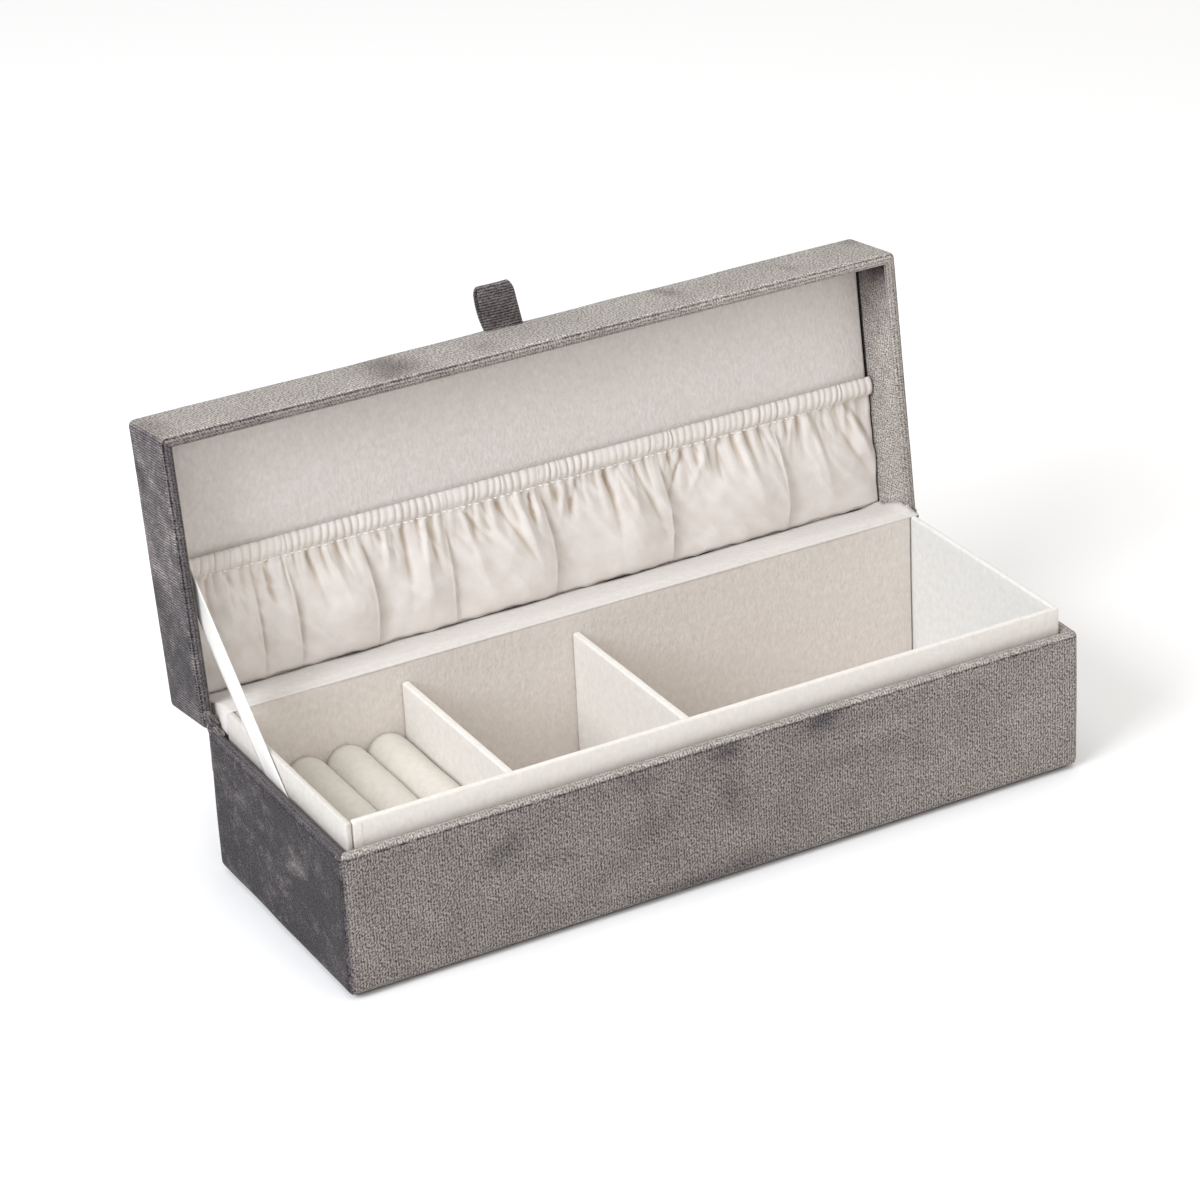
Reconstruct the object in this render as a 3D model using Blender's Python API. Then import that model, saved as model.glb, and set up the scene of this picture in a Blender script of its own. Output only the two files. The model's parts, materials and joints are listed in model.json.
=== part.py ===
"""Velvet jewellery box with a hinged lid, shown open against its ribbon stay.

The box is a case of grey pulp board wrapped in velvet. A cream liner of wrapped
boards stands in it, with two dividers and four ring rolls. The lid carries a padded
panel with a gathered pocket, and is held open by a satin ribbon on the left side.

Frame: +X along the length, -Y the front, +Z up, origin at the centre of the underside.
All sizes are in metres.
"""

import math

import bmesh
import bpy
from mathutils import Vector

# Whole box
BOX_LENGTH = 0.260
BOX_DEPTH = 0.095
BASE_HEIGHT = 0.049
LID_HEIGHT = 0.0274
OPEN_ANGLE = math.radians(97)

# Sheet and board thicknesses, and the clearance between pieces
GAP = 0.0003
VELVET = 0.0006
BOARD = 0.0020
WALL = 2 * VELVET + 2 * GAP + BOARD
SHEET = 0.0006

# Velvet wrapping
RIM_RADIUS = 0.0012
CORNER_RADIUS = 0.0012
INNER_CORNER_RADIUS = 0.0004
TURN_IN_BOTTOM = 0.030
HEM_WIDTH = 0.012
UNDERSIDE_MARGIN = 0.003

# Liner standing proud of the case
LINER_TOP = 0.0568
LINER_WALL = 0.0020
LINER_FRONT_CLEARANCE = 0.0009
LINER_BACK_CLEARANCE = 0.0010
LINER_RIGHT_CLEARANCE = 0.0005
RIBBON_SLOT = 0.0010
LINER_EDGE_ROUND = 0.0006

# Dividers, by the X of their centre
DIVIDER_THICKNESS = 0.0026
DIVIDER_TOP = 0.0505
DIVIDER_CENTRES = {"divider_left": -0.0650, "divider_right": -0.0039}

# Ring rolls
ROLL_COUNT = 4
ROLL_TOP = 0.0344
ROLL_SPACING = 0.0006
ROLL_COVER = 0.0006

# Lid inside
PANEL_MARGIN = 0.0005
PANEL_FACE_DEPTH = 0.0187
POCKET_THICKNESS = 0.0042
POCKET_BOTTOM = 0.0047
POCKET_TOP = 0.0498
ELASTIC_WIDTH = 0.0050
ELASTIC_THICKNESS = 0.0008

# Pull tab on the lid's front edge
TAB_WIDTH = 0.013
TAB_LENGTH = 0.0140
TAB_CENTRE_X = -0.0012
TAB_LEAN = -0.14
TAB_PLY = 0.0008
TAB_OUTER = 0.0029

# Ribbon stay, a straight taut strap in a plane of constant X
RIBBON_WIDTH = 0.0105
RIBBON_THICKNESS = 0.0004
RIBBON_RIM_POINT = (0.0058, 0.0472)
RIBBON_SLOPE = math.radians(40.6)
RIBBON_BELOW_RIM = 0.028
RIBBON_ABOVE_RIM = 0.0915

# Hinge strips
SPINE_LEG_DOWN = 0.0145
SPINE_LEG_BACK = 0.0180
STRIP_THICKNESS = 0.0004
STRIP_END_RISE = 0.0012
STRIP_END_SETBACK = 0.0012

# Points closer than this count as touching
TOUCHING = 1e-6

ARC_STEPS = 2
CORNER_STEPS = 3
ROLL_STEPS = 10

HALF_LENGTH = BOX_LENGTH / 2
HALF_DEPTH = BOX_DEPTH / 2
HINGE_Y = HALF_DEPTH
HINGE_Z = BASE_HEIGHT + GAP
CASE_FLOOR = SHEET + GAP
BOARD_FLOOR = CASE_FLOOR + VELVET + GAP
LINER_FLOOR = BOARD_FLOOR + BOARD + GAP
BOARD_OUT = VELVET + GAP
BOARD_IN = BOARD_OUT + BOARD
LINER_LEFT = -HALF_LENGTH + WALL + RIBBON_SLOT
LINER_RIGHT = HALF_LENGTH - WALL - LINER_RIGHT_CLEARANCE
LINER_FRONT = -HALF_DEPTH + WALL + LINER_FRONT_CLEARANCE
LINER_BACK = HALF_DEPTH - WALL - LINER_BACK_CLEARANCE
TRAY_FLOOR = LINER_FLOOR + LINER_WALL

COLOURS = {
    "grey_board": ((0.42, 0.40, 0.37), 0.90),
    "velvet": ((0.24, 0.23, 0.22), 0.95),
    "underside_paper": ((0.10, 0.10, 0.10), 0.90),
    "cream_liner": ((0.82, 0.78, 0.73), 0.90),
    "cream_rolls": ((0.86, 0.82, 0.75), 0.90),
    "foam": ((0.80, 0.78, 0.70), 0.95),
    "cream_pocket": ((0.84, 0.78, 0.72), 0.85),
    "elastic": ((0.85, 0.85, 0.83), 0.80),
    "satin": ((0.93, 0.93, 0.92), 0.45),
}


def clear_scene():
    for old in list(bpy.data.objects):
        bpy.data.objects.remove(old, do_unlink=True)


def make_material(name):
    colour, roughness = COLOURS[name]
    material = bpy.data.materials.new(name)
    material.use_nodes = True
    shader = material.node_tree.nodes["Principled BSDF"]
    shader.inputs["Base Color"].default_value = (*colour, 1.0)
    shader.inputs["Roughness"].default_value = roughness
    shader.inputs["Metallic"].default_value = 0.0
    return material


def add_piece(name, bm, material_name, parent=None):
    """Turn a bmesh into a named object with its own material."""
    bmesh.ops.recalc_face_normals(bm, faces=bm.faces)
    mesh = bpy.data.meshes.new(name)
    bm.to_mesh(mesh)
    bm.free()
    piece = bpy.data.objects.new(name, mesh)
    piece.data.materials.append(make_material(material_name))
    bpy.context.scene.collection.objects.link(piece)
    piece.parent = parent
    return piece


def box_mesh(low, high):
    bm = bmesh.new()
    bmesh.ops.create_cube(bm, size=1.0)
    for vert in bm.verts:
        for axis in range(3):
            vert.co[axis] = low[axis] if vert.co[axis] < 0 else high[axis]
    return bm


def add_board(name, low, high, material_name, parent=None, round_top=0.0):
    """A rectangular board; round_top softens the four edges of its top face."""
    bm = box_mesh(low, high)
    if round_top:
        at_top = high[2] - TOUCHING
        top_edges = [e for e in bm.edges if all(v.co.z > at_top for v in e.verts)]
        bmesh.ops.bevel(
            bm, geom=top_edges, offset=round_top, segments=ARC_STEPS, profile=0.5, affect="EDGES"
        )
    return add_piece(name, bm, material_name, parent)


def arc(centre, radius, start, end, steps):
    """Points of a circular arc in a plane, from start to end in degrees."""
    points = []
    for step in range(steps + 1):
        angle = math.radians(start + (end - start) * step / steps)
        points.append((centre[0] + radius * math.cos(angle), centre[1] + radius * math.sin(angle)))
    return points


def rounded_rectangle(low, high, radius, z):
    """Corner points of a rounded rectangle at height z, counter-clockwise."""
    corners = [
        ((high[0] - radius, high[1] - radius), 0),
        ((low[0] + radius, high[1] - radius), 90),
        ((low[0] + radius, low[1] + radius), 180),
        ((high[0] - radius, low[1] + radius), 270),
    ]
    return [
        Vector((x, y, z))
        for centre, start in corners
        for x, y in arc(centre, radius, start, start + 90, CORNER_STEPS)
    ]


def loft(stations, low, high, closed):
    """Skin a list of (inset, height) stations round a rectangle into one body.

    A closed loft joins the last station to the first; an open one is capped at both ends.
    """
    bm = bmesh.new()
    rings = []
    for inset, z in stations:
        radius = max(CORNER_RADIUS - inset, INNER_CORNER_RADIUS)
        loop = rounded_rectangle(
            (low[0] + inset, low[1] + inset), (high[0] - inset, high[1] - inset), radius, z
        )
        rings.append([bm.verts.new(point) for point in loop])
    pairs = list(zip(rings, rings[1:]))
    if closed:
        pairs.append((rings[-1], rings[0]))
    else:
        bm.faces.new(rings[0])
        bm.faces.new(rings[-1])
    for lower, upper in pairs:
        count = len(lower)
        for i in range(count):
            j = (i + 1) % count
            bm.faces.new((lower[i], lower[j], upper[j], upper[i]))
    return bm


def prism(outline, axis, low, high):
    """Extrude a flat outline along X (outline in Y, Z) or along Y (outline in X, Z)."""
    bm = bmesh.new()
    ends = []
    for along in (low, high):
        if axis == "X":
            points = [Vector((along, a, b)) for a, b in outline]
        else:
            points = [Vector((a, along, b)) for a, b in outline]
        ends.append([bm.verts.new(point) for point in points])
    bm.faces.new(ends[0])
    bm.faces.new(ends[1])
    count = len(outline)
    for i in range(count):
        j = (i + 1) % count
        bm.faces.new((ends[0][i], ends[0][j], ends[1][j], ends[1][i]))
    return bm


def strip_outline(path, thickness):
    """Outline of a thin strip whose underside follows path, in (Y, Z)."""
    upper = []
    for i, point in enumerate(path):
        before = path[max(i - 1, 0)]
        after = path[min(i + 1, len(path) - 1)]
        run = Vector((after[0] - before[0], after[1] - before[1])).normalized()
        upper.append((point[0] - run.y * thickness, point[1] + run.x * thickness))
    return list(path) + upper[::-1]


def lid_point(depth, height):
    """World (Y, Z) of a point of the open lid, from its distance out from the hinge line
    and its height above the lid's rim."""
    y = -depth * math.cos(OPEN_ANGLE) + height * math.sin(OPEN_ANGLE)
    z = depth * math.sin(OPEN_ANGLE) + height * math.cos(OPEN_ANGLE)
    return HINGE_Y + y, HINGE_Z + z


def rim_profile(rim, direction):
    """Outer and inner (inset, height) points of a velvet fold over a wall's rim.

    direction is +1 where the rim is on top of the wall and -1 where it is underneath.
    """
    inner_radius = RIM_RADIUS - VELVET
    centre_z = rim - direction * RIM_RADIUS
    outer = arc((RIM_RADIUS, centre_z), RIM_RADIUS, 180, 180 - direction * 90, ARC_STEPS)
    outer += arc((WALL - RIM_RADIUS, centre_z), RIM_RADIUS, direction * 90, 0, ARC_STEPS)
    inner = arc((WALL - RIM_RADIUS, centre_z), inner_radius, 0, direction * 90, ARC_STEPS)
    inner += arc((RIM_RADIUS, centre_z), inner_radius, direction * 90, direction * 180, ARC_STEPS)
    return outer, inner


def make_case():
    """The outer case: five boards, the velvet round them and the paper under them."""
    low = (-HALF_LENGTH, -HALF_DEPTH)
    high = (HALF_LENGTH, HALF_DEPTH)
    board_top = BASE_HEIGHT - RIM_RADIUS
    add_board(
        "base_floor_board",
        (low[0] + BOARD_IN + GAP, low[1] + BOARD_IN + GAP, BOARD_FLOOR),
        (high[0] - BOARD_IN - GAP, high[1] - BOARD_IN - GAP, BOARD_FLOOR + BOARD),
        "grey_board",
    )
    long_walls = {
        "base_front_board": low[1] + BOARD_OUT,
        "base_back_board": high[1] - BOARD_IN,
    }
    for name, y_low in long_walls.items():
        add_board(
            name,
            (low[0] + BOARD_OUT, y_low, BOARD_FLOOR),
            (high[0] - BOARD_OUT, y_low + BOARD, board_top),
            "grey_board",
        )
    short_walls = {
        "base_left_board": low[0] + BOARD_OUT,
        "base_right_board": high[0] - BOARD_IN,
    }
    for name, x_low in short_walls.items():
        add_board(
            name,
            (x_low, low[1] + BOARD_IN + GAP, BOARD_FLOOR),
            (x_low + BOARD, high[1] - BOARD_IN - GAP, board_top),
            "grey_board",
        )
    outer_rim, inner_rim = rim_profile(BASE_HEIGHT, 1)
    foot = (RIM_RADIUS, CASE_FLOOR + RIM_RADIUS)
    stations = [(HEM_WIDTH, CASE_FLOOR)]
    stations += arc(foot, RIM_RADIUS, 270, 180, ARC_STEPS)
    stations += outer_rim
    stations += [(WALL, TURN_IN_BOTTOM), (WALL - VELVET, TURN_IN_BOTTOM)]
    stations += inner_rim
    stations += arc(foot, RIM_RADIUS - VELVET, 180, 270, ARC_STEPS)
    stations += [(HEM_WIDTH, CASE_FLOOR + VELVET)]
    add_piece("base_velvet_cover", loft(stations, low, high, closed=True), "velvet")
    add_board(
        "base_underside_sheet",
        (low[0] + UNDERSIDE_MARGIN, low[1] + UNDERSIDE_MARGIN, 0.0),
        (high[0] - UNDERSIDE_MARGIN, high[1] - UNDERSIDE_MARGIN, SHEET),
        "underside_paper",
    )


def make_liner():
    """The cream tray: side walls full depth, front and back walls between them."""
    inner_left = LINER_LEFT + LINER_WALL
    inner_right = LINER_RIGHT - LINER_WALL
    inner_front = LINER_FRONT + LINER_WALL
    inner_back = LINER_BACK - LINER_WALL
    side_walls = {"liner_left_wall": LINER_LEFT, "liner_right_wall": inner_right}
    for name, x_low in side_walls.items():
        add_board(
            name,
            (x_low, LINER_FRONT, LINER_FLOOR),
            (x_low + LINER_WALL, LINER_BACK, LINER_TOP),
            "cream_liner",
            round_top=LINER_EDGE_ROUND,
        )
    end_walls = {"liner_front_wall": LINER_FRONT, "liner_back_wall": inner_back}
    for name, y_low in end_walls.items():
        add_board(
            name,
            (inner_left + GAP, y_low, LINER_FLOOR),
            (inner_right - GAP, y_low + LINER_WALL, LINER_TOP),
            "cream_liner",
            round_top=LINER_EDGE_ROUND,
        )
    add_board(
        "liner_floor",
        (inner_left + GAP, inner_front + GAP, LINER_FLOOR),
        (inner_right - GAP, inner_back - GAP, TRAY_FLOOR),
        "cream_liner",
    )
    for name, centre in DIVIDER_CENTRES.items():
        add_board(
            name,
            (centre - DIVIDER_THICKNESS / 2, inner_front + GAP, TRAY_FLOOR + GAP),
            (centre + DIVIDER_THICKNESS / 2, inner_back - GAP, DIVIDER_TOP),
            "cream_liner",
            round_top=LINER_EDGE_ROUND,
        )


def arch_outline(centre_x, half_width, floor, top):
    """A bar's end outline in (X, Z): upright sides under a half-round top."""
    crown = arc((centre_x, top - half_width), half_width, 0, 180, ROLL_STEPS)
    return [(centre_x + half_width, floor), *crown, (centre_x - half_width, floor)]


def make_ring_rolls():
    """Foam bars with a half-round top, side by side, each in its own fabric cover."""
    left = LINER_LEFT + LINER_WALL
    right = DIVIDER_CENTRES["divider_left"] - DIVIDER_THICKNESS / 2
    pitch = (right - left) / ROLL_COUNT
    half_width = (pitch - ROLL_SPACING) / 2
    core_half = half_width - ROLL_COVER - GAP
    floor = TRAY_FLOOR + GAP
    front = LINER_FRONT + LINER_WALL + GAP
    back = LINER_BACK - LINER_WALL - GAP
    for index in range(ROLL_COUNT):
        centre = left + pitch * (index + 0.5)
        core = arch_outline(centre, core_half, floor, ROLL_TOP - ROLL_COVER - GAP)
        add_piece(f"ring_roll_foam_{index + 1}", prism(core, "Y", front, back), "foam")
        outside = arch_outline(centre, half_width, floor, ROLL_TOP)
        inside = arch_outline(centre, half_width - ROLL_COVER, floor, ROLL_TOP - ROLL_COVER)
        skin = outside + inside[::-1]
        add_piece(f"ring_roll_cover_{index + 1}", prism(skin, "Y", front, back), "cream_rolls")


def make_lid_shell(axis):
    """The lid's five boards and the velvet round them, in the lid's closed position
    about its hinge axis: Y runs back to front from 0 to -BOX_DEPTH, Z up from the rim."""
    low = (-HALF_LENGTH, -BOX_DEPTH)
    high = (HALF_LENGTH, 0.0)
    top_board_low = LID_HEIGHT - VELVET - GAP - BOARD
    add_board(
        "lid_top_board",
        (low[0] + BOARD_OUT, low[1] + BOARD_OUT, top_board_low),
        (high[0] - BOARD_OUT, high[1] - BOARD_OUT, top_board_low + BOARD),
        "grey_board",
        axis,
    )
    long_walls = {
        "lid_front_board": low[1] + BOARD_OUT,
        "lid_back_board": high[1] - BOARD_IN,
    }
    for name, y_low in long_walls.items():
        add_board(
            name,
            (low[0] + BOARD_OUT, y_low, RIM_RADIUS),
            (high[0] - BOARD_OUT, y_low + BOARD, top_board_low - GAP),
            "grey_board",
            axis,
        )
    short_walls = {
        "lid_left_board": low[0] + BOARD_OUT,
        "lid_right_board": high[0] - BOARD_IN,
    }
    for name, x_low in short_walls.items():
        add_board(
            name,
            (x_low, low[1] + BOARD_IN + GAP, RIM_RADIUS),
            (x_low + BOARD, high[1] - BOARD_IN - GAP, top_board_low - GAP),
            "grey_board",
            axis,
        )
    outer_rim, inner_rim = rim_profile(0.0, -1)
    crown = (RIM_RADIUS, LID_HEIGHT - RIM_RADIUS)
    lining_top = top_board_low - GAP
    stations = arc(crown, RIM_RADIUS, 90, 180, ARC_STEPS)
    stations += outer_rim
    stations += [(WALL, lining_top), (WALL - VELVET, lining_top)]
    stations += inner_rim
    stations += arc(crown, RIM_RADIUS - VELVET, 180, 90, ARC_STEPS)
    add_piece("lid_velvet_cover", loft(stations, low, high, closed=False), "velvet", axis)


def make_lid_panel(axis):
    """The padded panel that fills the lid, with the gathered pocket and its elastic."""
    board_high = LID_HEIGHT - VELVET - BOARD - 2 * GAP
    board_low = board_high - BOARD
    front = -BOX_DEPTH + WALL + PANEL_MARGIN
    back = -WALL - PANEL_MARGIN
    left = LINER_LEFT
    right = LINER_RIGHT
    add_board(
        "lid_panel_board",
        (left, front, board_low),
        (right, back, board_high),
        "grey_board",
        axis,
    )
    add_board(
        "lid_panel_pad",
        (left, front, PANEL_FACE_DEPTH),
        (right, back, board_low - GAP),
        "cream_liner",
        axis,
    )
    pocket_high = PANEL_FACE_DEPTH - GAP
    pocket_low = pocket_high - POCKET_THICKNESS
    pocket = add_piece(
        "pocket_fabric",
        box_mesh((left + GAP, -POCKET_TOP, pocket_low), (right - GAP, -POCKET_BOTTOM, pocket_high)),
        "cream_pocket",
        axis,
    )
    channel_front = -POCKET_TOP + VELVET
    channel_back = channel_front + ELASTIC_WIDTH + 2 * GAP
    elastic_low = (pocket_low + pocket_high - ELASTIC_THICKNESS) / 2
    elastic_high = elastic_low + ELASTIC_THICKNESS
    slot = add_piece(
        "elastic_channel_cutter",
        box_mesh(
            (left - WALL, channel_front, elastic_low - GAP),
            (right + WALL, channel_back, elastic_high + GAP),
        ),
        "elastic",
        axis,
    )
    slot.hide_render = True
    slot.display_type = "WIRE"
    cut = pocket.modifiers.new("elastic channel", "BOOLEAN")
    cut.object = slot
    cut.operation = "DIFFERENCE"
    cut.solver = "EXACT"
    add_board(
        "pocket_elastic",
        (left + GAP, channel_front + GAP, elastic_low),
        (right - GAP, channel_back - GAP, elastic_high),
        "elastic",
        axis,
    )


def make_pull_tab(axis):
    """A folded loop of velvet that sticks out from the lid's front edge."""
    outer_half = TAB_OUTER / 2
    middle = LID_HEIGHT - VELVET - outer_half
    root = -BOX_DEPTH - GAP
    nose = (root - TAB_LENGTH + outer_half, middle)
    outside = arc(nose, outer_half, 90, 270, 2 * ARC_STEPS)
    inner_half = outer_half - TAB_PLY
    inside = arc(nose, inner_half, 270, 90, 2 * ARC_STEPS)
    outline = [(root, middle + outer_half), *outside, (root, middle - outer_half)]
    outline += [(root, middle - inner_half), *inside, (root, middle + inner_half)]
    bm = prism(outline, "X", TAB_CENTRE_X - TAB_WIDTH / 2, TAB_CENTRE_X + TAB_WIDTH / 2)
    for vert in bm.verts:
        vert.co.x += TAB_LEAN * (root - vert.co.y)
    add_piece("pull_tab", bm, "velvet", axis)


def make_ribbon_stay():
    """The taut satin ribbon between the left wall of the case and the lid's panel."""
    along = Vector((math.cos(RIBBON_SLOPE), math.sin(RIBBON_SLOPE)))
    across = Vector((-along.y, along.x)) * (RIBBON_WIDTH / 2)
    rim_point = Vector(RIBBON_RIM_POINT)
    lower = rim_point - along * RIBBON_BELOW_RIM
    upper = rim_point + along * RIBBON_ABOVE_RIM
    outline = [lower - across, upper - across, upper + across, lower + across]
    x_low = LINER_LEFT - GAP - RIBBON_THICKNESS
    bm = prism([tuple(point) for point in outline], "X", x_low, x_low + RIBBON_THICKNESS)
    add_piece("ribbon_stay", bm, "satin")


def make_hinge_spine():
    """The velvet spine outside the hinge line, down the case's back and up the lid's."""
    near = (HINGE_Y + GAP, -GAP)
    far = (HINGE_Y + GAP + VELVET, -GAP - VELVET)
    foot = HINGE_Z - SPINE_LEG_DOWN
    outline = []
    for y, depth in (near, far):
        bend_z = lid_point(depth, 0.0)[1] + (y - HINGE_Y) / math.tan(OPEN_ANGLE)
        side = [(y, foot), (y, bend_z), lid_point(depth, SPINE_LEG_BACK)]
        outline += side[::-1] if outline else side
    spine_half = HALF_LENGTH - VELVET
    add_piece("hinge_spine_velvet", prism(outline, "X", -spine_half, spine_half), "velvet")


def make_hinge_strip():
    """The cream strip from the liner's back wall over the hinge line to the lid's panel."""
    end_depth = POCKET_BOTTOM + STRIP_END_RISE
    end_height = PANEL_FACE_DEPTH - POCKET_THICKNESS - STRIP_END_SETBACK
    path = [
        (LINER_BACK - LINER_WALL + LINER_EDGE_ROUND, LINER_TOP + GAP),
        (LINER_BACK, LINER_TOP + GAP),
        (HINGE_Y + VELVET, LINER_TOP - VELVET),
        lid_point(end_depth, end_height),
    ]
    outline = strip_outline(path, STRIP_THICKNESS)
    strip = prism(outline, "X", LINER_LEFT + GAP, LINER_RIGHT - GAP)
    add_piece("hinge_strip_inner", strip, "cream_liner")


def make_lid():
    axis = bpy.data.objects.new("lid_hinge_axis", None)
    axis.location = (0.0, HINGE_Y, HINGE_Z)
    axis.rotation_euler = (-OPEN_ANGLE, 0.0, 0.0)
    bpy.context.scene.collection.objects.link(axis)
    make_lid_shell(axis)
    make_lid_panel(axis)
    make_pull_tab(axis)


clear_scene()
make_case()
make_liner()
make_ring_rolls()
make_lid()
make_ribbon_stay()
make_hinge_spine()
make_hinge_strip()
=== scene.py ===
"""Looks for the velvet jewellery box: velvet skins, wrapped liner boards, ring rolls,
the gathered lid pocket, the ribbon stay, their materials, the light and the camera.

Pieces of the case are built in the frame's own coordinates.  Pieces of the lid are built
in the closed lid's coordinates, with the hinge line as origin, Y negative towards the
front edge and Z up from the rim, and LID turns them to their open place.
All sizes are in metres.
"""

import itertools
import json
import math

import bmesh
import bpy
import numpy as np
from mathutils import Matrix, Vector, noise


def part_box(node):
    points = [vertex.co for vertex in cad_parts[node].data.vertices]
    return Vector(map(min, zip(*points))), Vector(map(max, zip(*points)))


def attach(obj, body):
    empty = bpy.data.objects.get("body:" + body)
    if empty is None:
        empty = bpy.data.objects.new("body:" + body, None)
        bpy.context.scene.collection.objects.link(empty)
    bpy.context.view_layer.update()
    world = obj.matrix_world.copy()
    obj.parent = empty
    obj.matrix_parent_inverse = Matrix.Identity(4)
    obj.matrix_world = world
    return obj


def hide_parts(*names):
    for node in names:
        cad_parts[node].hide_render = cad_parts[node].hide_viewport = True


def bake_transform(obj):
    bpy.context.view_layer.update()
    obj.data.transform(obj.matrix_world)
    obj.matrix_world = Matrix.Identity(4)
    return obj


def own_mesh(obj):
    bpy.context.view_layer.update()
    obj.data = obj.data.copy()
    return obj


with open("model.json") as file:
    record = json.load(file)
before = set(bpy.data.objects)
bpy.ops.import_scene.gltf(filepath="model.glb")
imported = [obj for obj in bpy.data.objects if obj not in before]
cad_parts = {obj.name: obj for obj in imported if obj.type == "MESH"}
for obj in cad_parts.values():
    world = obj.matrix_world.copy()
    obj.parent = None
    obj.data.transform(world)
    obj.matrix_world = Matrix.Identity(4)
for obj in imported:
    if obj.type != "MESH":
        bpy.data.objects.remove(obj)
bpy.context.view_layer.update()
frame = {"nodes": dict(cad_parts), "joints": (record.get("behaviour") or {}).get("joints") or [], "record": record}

MM = 0.001

# The lid's open place, from the hinge
HINGE = Vector(frame["joints"][0]["pos_m"])
OPEN_ANGLE = math.radians(frame["joints"][0]["range_deg"][1])
LID = Matrix.Translation(HINGE) @ Matrix.Rotation(-OPEN_ANGLE, 4, "X")
# Cloth and padding make the lid a little wider than its boards
LID_SPREAD = Matrix.Diagonal((1.007, 1.0, 1.0, 1.0))

# Cloth and board thicknesses, as in the CAD
VELVET = 0.6 * MM
WALL = 3.8 * MM
HEM_WIDTH = 12 * MM
TURN_IN_BOTTOM = 30 * MM

# Softer radii than the CAD's facets
FOLD_RADIUS = 1.8 * MM
FOOT_RADIUS = 2.8 * MM
CORNER_RADIUS = 2.0 * MM
INNER_CORNER_RADIUS = 0.5 * MM

# Camera
CAMERA_TARGET = Vector((0.0028, 0.0353, 0.0620))
CAMERA_DISTANCE = 1.313
CAMERA_AZIMUTH = math.radians(-27.43)
CAMERA_ELEVATION = math.radians(26.14)
CAMERA_ROLL = math.radians(-3.11)
CAMERA_LENS = 123.6


# ---------------- mesh helpers


def local_box(node):
    """A lid node's lowest and highest corners in the closed lid's coordinates."""
    inverse = LID.inverted()
    points = [inverse @ v.co for v in frame["nodes"][node].data.vertices]
    return [Vector([pick(p[axis] for p in points) for axis in range(3)]) for pick in (min, max)]


def smooth_step(t):
    t = np.clip(t, 0.0, 1.0)
    return t * t * (3 - 2 * t)


def ease(value, start, width):
    """A smooth step from 0 at start to 1 a width further on."""
    return float(smooth_step((value - start) / width))


def arc(centre, radius, start, end, steps):
    """Points of a circular arc in a plane, from start to end in degrees."""
    angles = np.radians(np.linspace(start, end, steps + 1))
    return [(centre[0] + radius * math.cos(a), centre[1] + radius * math.sin(a)) for a in angles]


def between(first, last, count):
    """The points that cut a line into count equal parts, its ends left out."""
    first, last = np.array(first), np.array(last)
    return [tuple(first + (last - first) * i / count) for i in range(1, count)]


def run(first, last, step):
    """Evenly spaced points strictly between two points, about a step apart."""
    length = float(np.linalg.norm(np.array(last) - np.array(first)))
    return between(first, last, max(1, round(length / step)))


def new_mesh(name, points, faces):
    mesh = bpy.data.meshes.new(name)
    mesh.from_pydata(points, [], faces)
    return mesh


def new_object(name, data):
    thing = bpy.data.objects.new(name, data)
    bpy.context.scene.collection.objects.link(thing)
    return thing


def finish_mesh(name, mesh, material, smooth=True):
    """Turn a mesh into a shaded object of the scene."""
    mesh.update()
    mesh.materials.append(material)
    if smooth:
        mesh.shade_smooth()
    return new_object(name, mesh)


def bmesh_piece(name, bm, material):
    mesh = bpy.data.meshes.new(name)
    bm.to_mesh(mesh)
    bm.free()
    return finish_mesh(name, mesh, material)


def thicken(piece, thickness, offset=0.0):
    """Give a sheet its thickness, on both sides of its points or on one."""
    layer = piece.modifiers.new("thickness", "SOLIDIFY")
    layer.thickness = thickness
    layer.offset = offset


def face_corners(grid):
    """The values at the four corners of each face of a grid."""
    return np.stack([grid[:-1, :-1], grid[:-1, 1:], grid[1:, 1:], grid[1:, :-1]], axis=2)


def grid_piece(name, points, material, wrap_columns=False, wrap_rows=False, caps=False):
    """Skin points, rows by columns, with quads and a cloth map in metres."""
    points = np.array(points)
    rows, columns = points.shape[:2]
    across = np.roll(points, -1, axis=1) - points
    down = np.roll(points, -1, axis=0) - points
    u = np.zeros((rows, columns + 1))
    v = np.zeros((rows + 1, columns))
    u[:, 1:] = np.cumsum(np.linalg.norm(across, axis=2), axis=1)
    v[1:] = np.cumsum(np.linalg.norm(down, axis=2), axis=0)
    widest = u[int(np.argmax(u[:, -1]))]
    index = np.arange(rows * columns).reshape(rows, columns)
    index = np.pad(index, ((0, int(wrap_rows)), (0, int(wrap_columns))), mode="wrap")
    v = np.pad(v, ((0, 0), (0, 1)), mode="wrap")
    cloth = np.stack([np.broadcast_to(widest, v.shape), v], axis=-1)
    faces = face_corners(index).reshape(-1, 4).tolist()
    uvs = face_corners(cloth[: len(index), : len(index[0])]).reshape(-1, 2)
    if caps:
        faces += [index[0, :columns][::-1].tolist(), index[-1, :columns].tolist()]
        uvs = np.concatenate([uvs, cloth[0, :columns][::-1], cloth[rows - 1, :columns]])
    mesh = new_mesh(name, points.reshape(-1, 3).tolist(), faces)
    layer = mesh.uv_layers.new(name="cloth")
    layer.data.foreach_set("uv", uvs.astype(np.float32).ravel())
    return finish_mesh(name, mesh, material)


def face_outwards(piece):
    bm = bmesh.new()
    bm.from_mesh(piece.data)
    bmesh.ops.recalc_face_normals(bm, faces=bm.faces)
    bm.to_mesh(piece.data)
    bm.free()


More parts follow.
